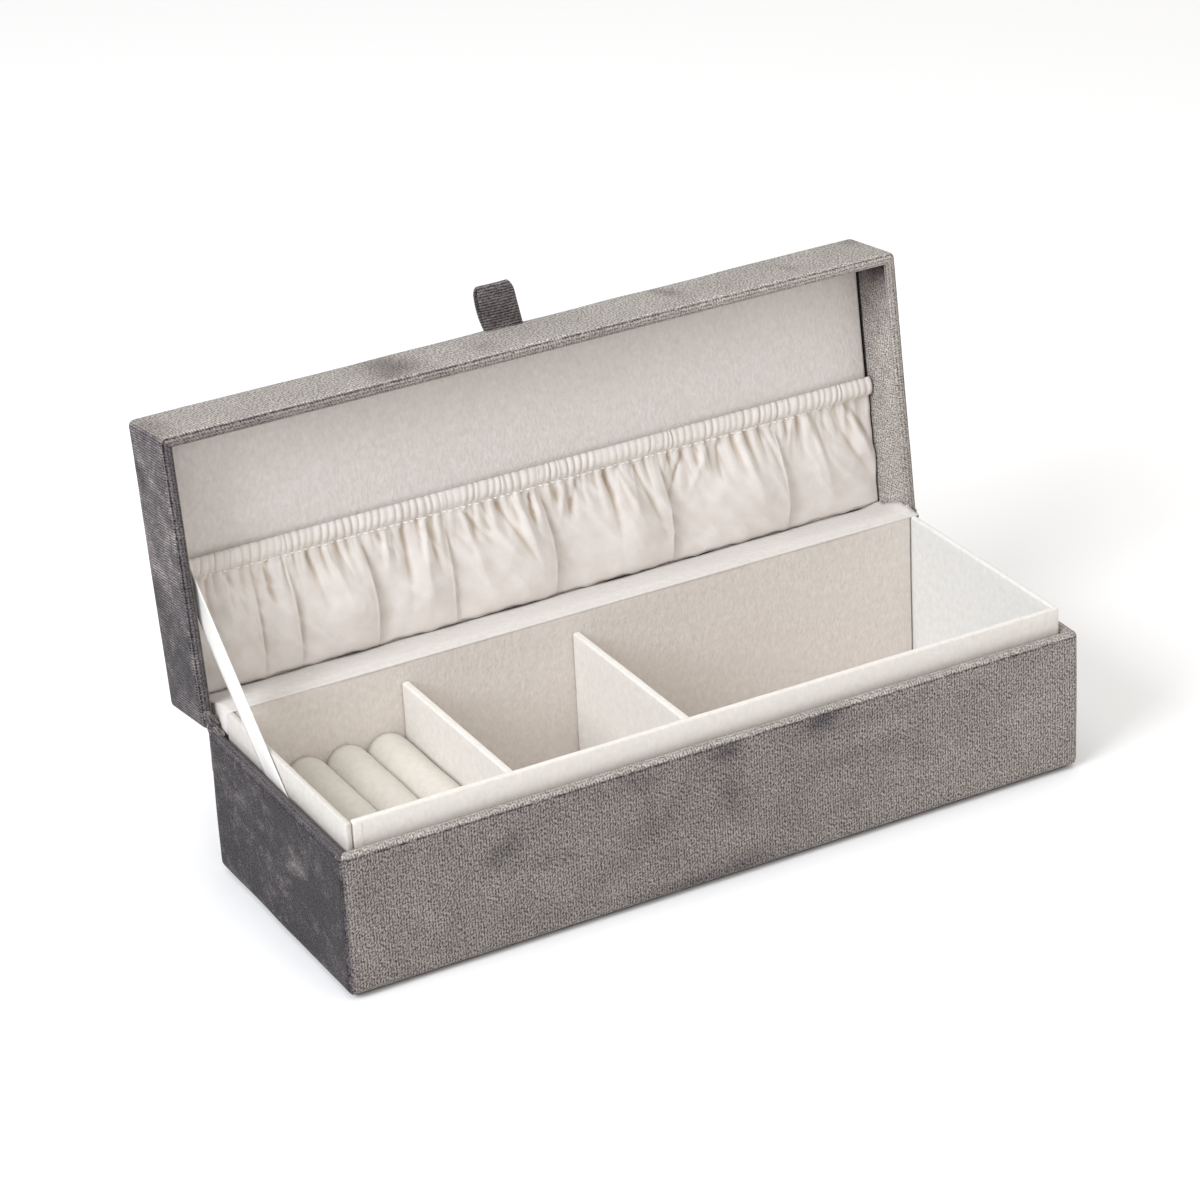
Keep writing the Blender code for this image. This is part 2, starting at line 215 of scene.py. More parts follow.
def rectangle_loop(low, high, inset, radius, z, step, corner_steps):
    """A rounded rectangle at height z with the same number of points at any inset."""
    sides = [max(2, round((high[axis] - low[axis]) / step)) for axis in (0, 1)]
    x0, x1 = low[0] + inset + radius, high[0] - inset - radius
    y0, y1 = low[1] + inset + radius, high[1] - inset - radius
    bends = [
        arc(centre, radius, start, start + 90, corner_steps)
        for centre, start in (((x1, y1), 0), ((x0, y1), 90), ((x0, y0), 180), ((x1, y0), 270))
    ]
    loop = []
    for index, bend in enumerate(bends):
        loop += bend + between(bend[-1], bends[(index + 1) % 4][0], sides[index % 2])
    return [(x, y, z) for x, y in loop]


def rounded_box(name, low, high, radius, step, material):
    """A box skinned with a grid whose edges and corners are rounded to a radius."""
    low, high = Vector(low), Vector(high)
    cuts = []
    for axis in range(3):
        size = high[axis] - low[axis]
        inner = size - 2 * radius
        count = max(1, round(inner / step))
        steps = [0.0, radius * 0.4, radius * 0.8]
        steps += [radius + inner * i / count for i in range(count + 1)]
        steps += [size - radius * 0.8, size - radius * 0.4, size]
        cuts.append([low[axis] + s for s in steps])
    bm = bmesh.new()
    known = {}

    def vertex(point):
        key = tuple(round(c * 1e7) for c in point)
        if key not in known:
            core = [min(max(c, l + radius), h - radius) for c, l, h in zip(point, low, high)]
            core = Vector(core)
            known[key] = bm.verts.new(core + (point - core).normalized() * radius)
        return known[key]

    for axis in range(3):
        a, b = (axis + 1) % 3, (axis + 2) % 3
        for end, order in ((low[axis], -1), (high[axis], 1)):
            for i, j in itertools.product(range(len(cuts[a]) - 1), range(len(cuts[b]) - 1)):
                corners = []
                for da, db in ((0, 0), (1, 0), (1, 1), (0, 1)):
                    point = Vector((0, 0, 0))
                    point[axis], point[a], point[b] = end, cuts[a][i + da], cuts[b][j + db]
                    corners.append(vertex(point))
                if len(set(corners)) == 4:
                    bm.faces.new(corners[::order])
    return bmesh_piece(name, bm, material)


def swell(piece, amplitude, wavelength, seed, allowed=None):
    """Move a piece's points along their normals by smooth noise, for hand-made unevenness."""
    offset = Vector((seed * 7.3, seed * 3.1, seed * 5.7))
    normals = [v.normal.copy() for v in piece.data.vertices]
    for vert, normal in zip(piece.data.vertices, normals):
        share = 1.0 if allowed is None else allowed(vert.co, normal)
        if share:
            vert.co += normal * amplitude * share * noise.noise(vert.co / wavelength + offset)


def place(piece, body, *nodes, slot, in_lid=False):
    """Put a lid piece in its open place, tie any piece to its body, and hide the CAD nodes it stands for."""
    if in_lid:
        piece.data.transform(LID @ LID_SPREAD)
        piece.data.update()
    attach(piece, body)
    if nodes:
        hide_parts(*nodes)
    return piece


def bridge(piece, start, end, *nodes, slot):
    """Bake a piece's place into its points, and hide the CAD nodes it stands for."""
    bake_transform(piece)
    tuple(start)
    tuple(end)
    if nodes:
        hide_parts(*nodes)


# ---------------- materials


# Slants of the pile's tufts and of its brushed streaks
TUFT_SLANT = math.radians(-32)
STREAK_SLANT = math.radians(27)


class Graph:
    """A material's node tree, with short calls for the nodes used here."""

    def __init__(self, name, **shader):
        self.material = bpy.data.materials.new(name)
        self.material.use_nodes = True
        self.nodes = self.material.node_tree.nodes
        self.shader = self.nodes["Principled BSDF"]
        for socket, value in shader.items():
            self.shader.inputs[socket.replace("_", " ")].default_value = value

    def feed(self, socket, value):
        if isinstance(value, bpy.types.NodeSocket):
            self.material.node_tree.links.new(value, socket)
        else:
            socket.default_value = value

    def node(self, kind, output, values=None, **settings):
        """One output of a new node, whose inputs take values or other outputs."""
        node = self.nodes.new("ShaderNode" + kind)
        for key, value in settings.items():
            setattr(node, key, value)
        for socket, value in (values or {}).items():
            self.feed(node.inputs[socket], value)
        return node.outputs[output]

    def place(self):
        return self.node("TexCoord", "Object")

    def cloth(self):
        return self.node("UVMap", "UV", uv_map="cloth")

    def attribute(self, name):
        return self.node("Attribute", "Fac", attribute_name=name)

    def stretch(self, vector, scale, rotation=(0, 0, 0), kind="POINT"):
        values = {"Vector": vector, "Scale": scale, "Rotation": rotation}
        return self.node("Mapping", "Vector", values, vector_type=kind)

    def noise(self, vector, scale, detail=2.0, roughness=0.5, distortion=0.0):
        values = {"Vector": vector, "Scale": scale, "Detail": detail}
        values |= {"Roughness": roughness, "Distortion": distortion}
        return self.node("TexNoise", "Fac", values)

    def wave(self, vector, scale, direction, distortion, detail=2.0, detail_scale=1.0):
        values = {"Vector": vector, "Scale": scale, "Distortion": distortion}
        values |= {"Detail": detail, "Detail Scale": detail_scale}
        return self.node("TexWave", "Fac", values, bands_direction=direction)

    def range(self, value, low=0.3, high=0.7, to_low=0.0, to_high=1.0):
        values = {"Value": value, "From Min": low, "From Max": high}
        return self.node("MapRange", "Result", values | {"To Min": to_low, "To Max": to_high})

    def math(self, operation, first, *others):
        """Apply an operation to its terms from left to right."""
        for other in others:
            first = self.node("Math", 0, {0: first, 1: other}, operation=operation)
        return first

    def add(self, *terms):
        return self.math("ADD", *terms)

    def times(self, *factors):
        return self.math("MULTIPLY", *factors)

    def mix(self, factor, a, b, blend="MIX"):
        values = {"Factor": factor, "A": a, "B": b}
        return self.node("Mix", "Result", values, data_type="RGBA", blend_type=blend)

    def tint(self, colour, red, green, blue):
        return self.mix(1.0, colour, (red, green, blue, 1.0), "MULTIPLY")

    def ramp(self, factor, colours):
        """Evenly spaced colours, picked by a factor from 0 to 1."""
        node = self.nodes.new("ShaderNodeValToRGB")
        self.feed(node.inputs["Fac"], factor)
        elements = node.color_ramp.elements
        while len(elements) < len(colours):
            elements.new(0.5)
        for index, (element, colour) in enumerate(zip(elements, colours)):
            element.position = index / (len(colours) - 1)
            element.color = colour
        return node.outputs["Color"]

    def bump(self, height, distance, strength, under=None):
        values = {"Height": height, "Distance": distance, "Strength": strength}
        if under is not None:
            values["Normal"] = under
        return self.node("Bump", "Normal", values)

    def finish(self, colour, roughness=None, normal=None):
        looks = {"Base Color": colour, "Roughness": roughness, "Normal": normal}
        for socket, value in looks.items():
            if value is not None:
                self.feed(self.shader.inputs[socket], value)
        return self.material


def srgb(red, green, blue):
    """An opaque linear colour from 0-255 display values."""

    def linear(value):
        value /= 255
        return value / 12.92 if value <= 0.04045 else ((value + 0.055) / 1.055) ** 2.4

    return (linear(red), linear(green), linear(blue), 1.0)


def velvet_material():
    """Short grey pile in fine rows.

    Its point attributes are nap_and_shade, the pile's lie from crushed dark to brushed light
    with painted shade added in; weave, how clearly the tufts show; brushed, how blotchy the
    pile is; in_rows, how far the tufts line up in upright rows; ridged, 1 on a rim, where rows
    run along it; and over_rim, the cloth's distance past the rim's outer edge, where a painted sheen highlight
    runs as a bright crest beside a broken dark line of painted shade.
    """
    sheen = {"Sheen_Weight": 0.14, "Sheen_Roughness": 0.45, "Sheen_Tint": (0.88, 0.86, 0.84, 1.0)}
    g = Graph("velvet", Specular_IOR_Level=0.12, **sheen)
    cloth, place = g.cloth(), g.place()
    over_rim, in_rows = g.attribute("over_rim"), g.attribute("in_rows")

    # tufts: short slanting flecks, and upright wales where the pile stands in rows
    slanting = g.stretch(cloth, (1.0, 1.5, 1.0), (0, 0, TUFT_SLANT), "TEXTURE")
    flecks = g.range(g.noise(slanting, 1950, 1.0, 0.5, 0.2), 0.37, 0.63)
    wales = g.wave(cloth, 340.0, "X", 2.6, 2.0, 2.6)
    along_rim = g.node("SeparateXYZ", "X", {"Vector": cloth})
    over_edge = g.node("CombineXYZ", "Vector", {"X": along_rim, "Y": over_rim})
    ridges = g.wave(over_edge, 270.0, "Y", 5.0, 2.0, 5.0)
    ridges = g.add(g.times(ridges, 0.6), g.times(wales, 0.4))
    lines = g.add(wales, g.times(g.math("SUBTRACT", ridges, wales), g.attribute("ridged")))
    fibres = g.noise(place, 3000, 1.0, 0.6)
    tufts = g.add(
        g.times(flecks, g.range(in_rows, 0.0, 1.0, 0.64, 0.28)),
        g.times(lines, g.range(in_rows, 0.0, 1.0, 0.14, 0.58)),
        g.times(g.range(fibres), 0.22),
    )
    tufts = g.range(tufts, 0.22, 0.78)

    # the lie of the pile: soft clouds, and blotches with pale specks where it is brushed
    clouds = g.range(g.noise(place, 60, 3.0, 0.6, 0.6), 0.35, 0.65, -0.07, 0.07)
    streaks = g.stretch(place, (1.0, 1.35, 1.0), (STREAK_SLANT, 0, 0), "TEXTURE")
    blotches = g.range(g.noise(streaks, 150, 7.0, 0.8, 0.4), 0.36, 0.68, -0.36, 0.68)
    specks = g.range(g.noise(place, 1700, 2.0, 0.7), 0.50, 0.72, -0.12, 0.50)
    brushed = g.times(g.add(blotches, specks), g.attribute("brushed"))
    # the stored values carry painted shade as well as the pile's lie
    nap_and_shade = g.add(g.attribute("nap_and_shade"), g.add(clouds, brushed))

    # rims: a painted sheen highlight as a dotted bright crest, and painted shade as a broken dark line beside it
    dots = g.range(wales, 0.15, 0.85, 0.45, 1.0)
    broken = g.range(g.noise(cloth, 420, 2.0, 0.7), 0.38, 0.58)
    lit = g.range(nap_and_shade, -0.45, 0.1, 0.0, 0.9)
    painted_sheen_crest = g.times(line_at(g, over_rim, 1.1 * MM, 1.0 * MM), lit, dots, 0.5)
    painted_groove_shade = g.times(line_at(g, over_rim, 0.2 * MM, 0.9 * MM), broken, 0.80)
    nap_and_shade = g.math("SUBTRACT", g.add(nap_and_shade, painted_sheen_crest), painted_groove_shade)

    tones = [(31, 28, 32), (76, 71, 74), (124, 118, 114), (158, 153, 148), (196, 191, 185)]
    shade = g.ramp(g.range(nap_and_shade, -1.0, 1.0), [srgb(*tone) for tone in tones])
    dark = g.tint(shade, 0.37, 0.355, 0.35)
    light = g.mix(1.0, g.tint(shade, 2.0, 2.0, 1.98), (0.035, 0.033, 0.031, 1.0), "ADD")
    colour = g.mix(g.attribute("weave"), shade, g.mix(tufts, dark, light))
    normal = g.bump(fibres, 0.08 * MM, 0.6, g.bump(tufts, 0.26 * MM, 0.7))
    return g.finish(colour, g.range(tufts, 0.0, 1.0, 0.95, 0.86), normal)


def line_at(g, distance, middle, width):
    """A soft line, 1 in its middle and 0 half a width away on either side."""
    away = g.math("ABSOLUTE", g.math("SUBTRACT", distance, middle), 0.0)
    return g.range(away, width / 2, 0.0)


def felt_material(name, colour, brushed=0.5, grain=1.0):
    """Cream felt-faced paper: soft mottling, fine hairs and faint slanting brush marks.

    Grain is how deep the brush marks and the pulp's lumps stand out.
    """
    g = Graph(name, Sheen_Weight=0.12, Sheen_Roughness=0.5, Specular_IOR_Level=0.2)
    place = g.place()
    slanting = g.stretch(place, (1.0, 0.6, 0.6), (0.0, 0.5, 0.75))
    mottle = g.range(g.noise(place, 420, 3.0, 0.6))
    brush = g.range(g.noise(slanting, 850, 2.0, 0.6))
    hairs = g.noise(place, 2600)
    low = srgb(*(c * share for c, share in zip(colour, (0.955, 0.945, 0.93))))
    high = srgb(*(min(255, c * 1.02) for c in colour))
    tone = g.mix(g.add(g.times(mottle, 0.5), g.times(brush, brushed)), low, high)
    normal = g.bump(brush, 0.14 * grain * MM, 0.5)
    normal = g.bump(g.noise(slanting, 330), 0.30 * grain * MM, 0.4, normal)
    normal = g.bump(hairs, 0.06 * grain * MM, 0.5, normal)
    return g.finish(tone, g.range(hairs, 0.3, 0.7, 0.82, 0.95), normal)


def cotton_material():
    """Thin unbleached cotton: a fine plain weave with the odd slub, and painted shade, darker and warmer, in its
    creases.

    Its point attribute painted_crease_shade tells how deep a point lies between its neighbours, where the shade is
    painted.
    """
    g = Graph("cream_cotton", Sheen_Weight=0.10, Sheen_Roughness=0.4, Specular_IOR_Level=0.25)
    cloth = g.cloth()
    weave = g.times(*(g.wave(cloth, 650.0, direction, 1.2, 1.0, 2.0) for direction in "XY"))
    slubs = g.range(g.noise(g.stretch(cloth, (0.12, 1.0, 1.0)), 900, 1.0), 0.55, 0.8)
    mottle = g.range(g.noise(g.place(), 180, 3.0))
    tone = g.mix(mottle, srgb(228, 221, 215), srgb(237, 232, 228))
    tone = g.mix(g.times(slubs, 0.2), tone, srgb(241, 236, 230))
    tone = g.mix(g.times(weave, 0.10), tone, srgb(214, 200, 186))
    # painted shade: darker and warmer where the cloth lies deep in its creases
    tone = g.mix(g.attribute("painted_crease_shade"), tone, g.tint(tone, 0.70, 0.63, 0.55))
    normal = g.bump(mottle, 0.12 * MM, 0.3, g.bump(weave, 0.05 * MM, 0.35))
    return g.finish(tone, 0.88, normal)


def satin_material():
    """White satin ribbon: fine ribs across it and a soft gloss along it."""
    g = Graph("satin", Sheen_Weight=0.2, Sheen_Roughness=0.3, Anisotropic=0.4)
    ribs = g.wave(g.cloth(), 500.0, "X", 0.6, 1.0)
    cloudy = g.range(g.noise(g.place(), 120))
    tone = g.mix(cloudy, srgb(219, 217, 212), srgb(228, 226, 221))
    tone = g.mix(g.times(ribs, 0.12), tone, srgb(226, 225, 222))
    return g.finish(tone, g.range(cloudy, 0, 1, 0.42, 0.52), g.bump(ribs, 0.04 * MM, 0.4))


def thread_material():
    """Twisted white sewing thread."""
    g = Graph("thread", Sheen_Weight=0.2, Specular_IOR_Level=0.3)
    twist = g.noise(g.stretch(g.place(), (1.0, 0.4, 0.4), (0.0, 0.0, 0.6)), 3500, 1.0)
    tone = g.mix(g.range(twist, 0.35, 0.65), srgb(232, 229, 224), srgb(252, 251, 249))
    return g.finish(tone, 0.7, g.bump(twist, 0.05 * MM, 0.6))


def greyboard_material():
    """Recycled pulp board: grey with pale and dark flecks."""
    g = Graph("greyboard", Specular_IOR_Level=0.2)
    place = g.place()
    pulp = g.range(g.noise(place, 500, 4.0, 0.7))
    flecks = g.range(g.noise(g.stretch(place, (0.4, 1.0, 1.0)), 1400, 1.0), 0.62, 0.72)
    tone = g.mix(pulp, srgb(150, 145, 138), srgb(176, 171, 163))
    tone = g.mix(g.times(flecks, 0.7), tone, srgb(96, 90, 84))
    return g.finish(tone, 0.92, g.bump(pulp, 0.08 * MM, 0.5))


def foam_material():
    """Soft cream foam with open cells."""
    g = Graph("foam", Specular_IOR_Level=0.2)
    place = g.place()
    cells = g.node("TexVoronoi", "Distance", {"Vector": place, "Scale": 1600.0})
    cells = g.range(cells, 0.1, 0.6)
    tone = g.mix(g.range(g.noise(place, 120)), srgb(226, 218, 196), srgb(238, 232, 214))
    tone = g.mix(cells, g.tint(tone, 0.7, 0.68, 0.62), tone)
    return g.finish(tone, 0.95, g.bump(cells, 0.15 * MM, 0.7))


def elastic_material():
    """White knitted elastic: ribs along its length."""
    g = Graph("elastic", Sheen_Weight=0.1, Specular_IOR_Level=0.3)
    place = g.place()
    ribs = g.wave(place, 420.0, "Z", 0.5)
    tone = g.mix(ribs, srgb(214, 212, 206), srgb(240, 239, 235))
    knit = g.range(g.noise(place, 2400, 1.0), 0.4, 0.7, 0.0, 0.3)
    return g.finish(g.mix(knit, tone, srgb(196, 193, 187)), 0.8, g.bump(ribs, 0.15 * MM, 0.6))


def underside_material():
    """Black fibrous paper under the case."""
    g = Graph("underside_paper", Specular_IOR_Level=0.25)
    place = g.place()
    fibres = g.range(g.noise(g.stretch(place, (1.0, 0.35, 1.0), (0, 0, 0.5)), 1100, 3.0))
    scuffs = g.range(g.noise(place, 60, 4.0, 0.7), 0.55, 0.8)
    tone = g.mix(fibres, srgb(38, 37, 37), srgb(62, 60, 59))
    tone = g.mix(g.times(scuffs, 0.4), tone, srgb(98, 95, 92))
    return g.finish(tone, g.range(fibres, 0, 1, 0.85, 0.95), g.bump(fibres, 0.06 * MM, 0.5))


VELVET_CLOTH = velvet_material()
LINER_FELT = felt_material("cream_felt", (229, 223, 218), grain=1.3)
# a darker copy of the liner's felt: painted shade on the left wall
SHADED_LEFT_FELT = felt_material("cream_felt_left_shaded", (207, 203, 198))
PALE_FELT = felt_material("cream_felt_pale", (225, 226, 225), brushed=0.35, grain=0.5)
DIVIDER_FELT = felt_material("cream_felt_divider", (229, 226, 221), brushed=0.35, grain=0.5)
STRIP_FELT = felt_material("cream_felt_strip", (222, 218, 215), brushed=0.4, grain=0.8)
PANEL_FELT = felt_material("cream_felt_panel", (225, 219, 216), brushed=0.6, grain=1.8)
ROLL_FELT = felt_material("roll_felt", (217, 213, 205), brushed=0.2, grain=0.6)
COTTON = cotton_material()
SATIN = satin_material()
THREAD = thread_material()
CAD_MATERIALS = {
    "grey_board": greyboard_material(),
    "foam": foam_material(),
    "elastic": elastic_material(),
    "underside_paper": underside_material(),
}


def dress_cad_nodes():
    """Give each carried-over CAD node the procedural finish of its material slot."""
    for part in frame["record"]["subparts"]:
        finish = CAD_MATERIALS.get(part["material_slot"])
        if finish:
            node = frame["nodes"][part["node"]]
            for slot in node.material_slots:
                slot.material = finish


# ---------------- velvet

SKIN_STEP = 2.2 * MM
CORNER_STEPS = 5
FOLD_STEPS = 5
# Distances past a rim's outer edge: where its own pile blends in (start and width), where
# the cloth is already inside, and a mark for cloth that is nowhere near a rim
RIM_BLEND = (0.6 * MM, 0.8 * MM)
RIM_REACH = 4.6 * MM
HIDDEN = 50 * MM
# Pile values that paint shade on the lid's walls deeper than the panel's face, in the gap beside it
PAINTED_GAP_SHADE = (-1.3, 0, 0, 0)

# The pull tab: what it stands out past its CAD solid, its cloth, its lean and its gape
TAB_EXTRA = 0.7 * MM
TAB_PLY = 0.8 * MM
TAB_WIDTH = 13 * MM
TAB_CENTRE = -1.2 * MM
TAB_LEAN = -0.14
TAB_GAPE = 1.9 * MM


def fold_over(rim, direction, top_step=1.2 * MM):
    """(inset, height) stations of the velvet's outer face over a wall's rim."""
    r = FOLD_RADIUS
    centre = rim - direction * r
    stations = arc((r, centre), r, 180, 180 - direction * 90, FOLD_STEPS)
    last = (WALL - r, rim)
    stations += run(stations[-1], last, top_step)
    stations += arc((WALL - r, centre), r, direction * 90, 0, FOLD_STEPS)
    return stations


def lining_over(rim, direction):
    """(inset, height) stations of the velvet's inner face over a wall's rim."""
    centre, r = rim - direction * FOLD_RADIUS, FOLD_RADIUS - VELVET
    bend = arc((WALL - FOLD_RADIUS, centre), r, 0, direction * 90, 2)
    return bend + arc((FOLD_RADIUS, centre), r, direction * 90, direction * 180, 2)


def skin(name, outer, lining, low, high, fold_start, closed):
    """Wrap cloth round a rectangle along (inset, height) stations.

    The outer stations are the cloth's seen face; each point keeps how far it lies past
    the station fold_start, where the cloth begins to turn over the rim.
    """
    loops = []
    for inset, z in outer + lining:
        radius = max(CORNER_RADIUS - inset, INNER_CORNER_RADIUS)
        loops.append(rectangle_loop(low, high, inset, radius, z, SKIN_STEP, CORNER_STEPS))
    piece = grid_piece(name, loops, VELVET_CLOTH, True, wrap_rows=closed, caps=not closed)
    face_outwards(piece)
    map_flat_faces(piece, high.z - 0.1 * MM)
    along = np.cumsum(np.linalg.norm(np.diff(np.array(outer), axis=0), axis=1))
    along = np.concatenate([[0.0], along])
    over_rim = np.concatenate([along - along[fold_start], np.full(len(lining), HIDDEN)])
    store(piece, "over_rim", np.repeat(over_rim, len(loops[0])))
    return piece


def map_flat_faces(piece, height):
    """Map the cloth straight across any flat top above a height."""
    mesh = piece.data
    cloth = mesh.uv_layers["cloth"].data
    for face in mesh.polygons:
        if face.center.z > height and face.normal.z > 0.99:
            for index in face.loop_indices:
                co = mesh.vertices[mesh.loops[index].vertex_index].co
                cloth[index].uv = (co.x, co.y)


def store(piece, name, values):
    """Keep one number per point on a piece."""
    layer = piece.data.attributes.new(name, "FLOAT", "POINT")
    layer.data.foreach_set("value", np.asarray(values, dtype=np.float32))


def dress_pile(piece, lie):
    """Store the pile's values at each point, as lie works them out."""
    vertices = piece.data.vertices
    if "over_rim" not in piece.data.attributes:
        store(piece, "over_rim", np.full(len(vertices), -HIDDEN))
    past_edge = [item.value for item in piece.data.attributes["over_rim"].data]
    rows = [lie(vert.co, vert.normal, past) for vert, past in zip(vertices, past_edge)]
    for name, column in zip(("nap_and_shade", "weave", "brushed", "in_rows"), zip(*rows)):
        store(piece, name, column)
    store(piece, "ridged", smooth_step((np.array(past_edge) - 0.3 * MM) / (0.6 * MM)))


def smudge(point, centre, size, angle=0.0):
    """How far a point is inside a soft oval mark, from 0 to 1, in a plane's coordinates."""
    c, s = math.cos(angle), math.sin(angle)
    x, y = point[0] - centre[0], point[1] - centre[1]
    along, across = (x * c + y * s) / size[0], (-x * s + y * c) / size[1]
    return math.exp(-along * along - across * across)


# Marks left by fingers in the pile: (centre X, centre Z), (half sizes), angle, strength
FRONT_MARKS = [
    ((-76, 35), (7, 4), 0.4, -0.34),
    ((-66, 27), (16, 3), -0.2, -0.14),
    ((-22, 29), (9, 5), 0.5, -0.16),
    ((2, 29), (4, 7), 0.2, -0.26),
    ((1, 45), (6, 3), 0.0, -0.42),
    ((35, 46), (7, 2.5), 0.1, -0.50),
    ((46, 42), (22, 3), 0.0, -0.18),
    ((-30, 44), (14, 4), 0.0, -0.12),
    ((52, 31), (17, 2.5), 0.05, -0.18),
    ((-10, 3), (22, 2.5), 0.0, -0.30),
    ((8, 6), (6, 4), 0.0, -0.24),
    ((-40, 17), (8, 4), 0.3, -0.10),
    ((88, 38), (8, 4), 0.3, -0.08),
]
LEFT_MARKS = [
    ((-15, 31), (14, 5), -0.5, 0.16),
    ((-2, 22), (12, 4), -0.6, 0.14),
    ((24, 37), (10, 4), -0.5, 0.18),
    ((6, 10), (12, 7), -0.4, 0.14),
    ((-34, 44), (9, 4), -0.3, 0.12),
    ((-24, 14), (16, 5), -0.3, 0.10),
    ((12, 24), (5, 12), 0.3, -0.14),
    ((-30, 24), (16, 4), -0.3, -0.14),
    ((34, 20), (8, 9), 0.0, -0.12),
]
LID_EDGE_MARKS = [
    ((-46, 14), (7, 11), 0.25, -0.62),
    ((-52, 6), (5, 6), 0.25, -0.30),
    ((55, 18), (3, 8), 0.3, -0.42),
    ((96, 12), (2.5, 6), 0.2, -0.30),
    ((-16, 12), (4, 5), 0.2, -0.24),
    ((-128, 14), (5, 12), 0.0, -0.35),
    ((126, 23), (4, 5), 0.0, -0.30),
]


def marks_at(x, y, marks):
    at = (x / MM, y / MM)
    return sum(strength * smudge(at, centre, size, turn) for centre, size, turn, strength in marks)


def blend_sides(normal, sides):
    """Mix the pile values of a box's sides by which way the cloth faces."""
    facing = {"front": -normal.y, "back": normal.y, "left": -normal.x, "right": normal.x}
    shares = {side: max(0.0, share) ** 2 for side, share in facing.items()}
    shares["flat"] = normal.z**2
    total = sum(shares.values())
    return [sum(shares[side] * sides[side][i] for side in shares) / total for i in range(4)]


def mix_values(first, second, share):
    return [a * (1 - share) + b * share for a, b in zip(first, second)]


def rim_side(co, low, high):
    """The wall that a point over a rim belongs to."""
    gaps = {"front": co.y - low.y, "back": high.y - co.y}
    gaps |= {"left": co.x - low.x, "right": high.x - co.x}
    return min(gaps, key=gaps.get)


def base_pile_and_shade(low, high):
    """The lie of the case's pile with its painted shade: warm woven front, a dark left end that is partly brushed
    pile and partly painted shade, smooth rims.
    """
    rims = {
        "front": (0.30, 0.75, 0.2, 0.6),
        "left": (-0.58, 0.75, 0.2, 0.8),
        "right": (0.10, 0.80, 0.1, 0.8),
        "back": (0.05, 0.50, 0.0, 0.8),
    }

    def lie(co, normal, over_rim):
        front = -0.12 + 0.14 * ease(co.x, 10 * MM, 100 * MM) + marks_at(co.x, co.z, FRONT_MARKS)
        sides = {
            "front": (front, 1.0, 0.10, 0.34),
            "back": (marks_at(-co.x, co.z, FRONT_MARKS[3:9]), 0.9, 0.15, 0.2),
            # the dark left end: partly the pile's lie, partly painted shade where the velvet catches no sheen
            "left": (-1.00 + marks_at(co.y, co.z, LEFT_MARKS), 0.60, 1.0, 0.1),
            "right": (-0.10 + marks_at(-co.y, co.z, LEFT_MARKS), 0.8, 0.4, 0.3),
            "flat": (-0.1, 0.6, 0.1, 0.0),
        }
        rim = rims[rim_side(co, low, high)]
        return mix_values(blend_sides(normal, sides), rim, ease(over_rim, *RIM_BLEND))

    return lie


def lid_pile_and_shade(low, high):
    """The lie of the lid's pile with its painted shade, in the closed lid's coordinates."""
    panel_face = local_box("lid_panel_pad")[0].z

    def lie(co, normal, over_rim):
        reach = (co.x - low.x) / (high.x - low.x)
        y = co.y + 50 * MM
        # the lid's dark left end: partly the pile's lie, partly painted shade
        left = -0.60 - 0.26 * ease(co.y, -60 * MM, 50 * MM) + marks_at(y, co.z, LEFT_MARKS)
        sides = {
            "front": (0.36 + marks_at(co.x, co.z, LID_EDGE_MARKS), 0.85, 0.10, 0.15),
            "back": (0.0, 0.9, 0.1, 0.2),
            "left": (left, 1.0, 0.8, 1.0),
            "right": (-0.10 + marks_at(-y, co.z, LEFT_MARKS), 0.8, 0.4, 0.3),
            "flat": (0.02 + marks_at(co.x, co.y + 60 * MM, FRONT_MARKS), 0.95, 0.2, 0.2),
        }
        rims = {
            "front": (-0.18 + 0.5 * reach, 0.95, 0.1, 0.9),
            "left": (-0.56, 1.0, 0.3, 0.9),
            "right": (0.20, 0.95, 0.2, 0.8),
            "back": (0.0, 0.4, 0.0, 0.8),
        }
        inner = {
            "front": (-0.2, 0.4, 0.0, 0.8),
            "left": (-0.25, 0.6, 0.2, 0.3),
            # painted shade: the right inner wall darkens near the front wall, as shadow under it
            "right": (0.44 - 2.8 * math.exp((low.y - co.y) / (7 * MM)), 0.95, 0.4, 0.5),
            "back": (0.0, 0.4, 0.0, 0.8),
        }
        side = rim_side(co, low, high)
        # painted shade on the walls past the panel's face, in the gap beside it
        deep = mix_values(inner[side], PAINTED_GAP_SHADE, ease(co.z, panel_face - 0.2 * MM, 0.6 * MM))
        rim = mix_values(rims[side], deep, ease(over_rim, RIM_REACH, 1.0 * MM))
        return mix_values(blend_sides(normal, sides), rim, ease(over_rim, *RIM_BLEND))

    return lie


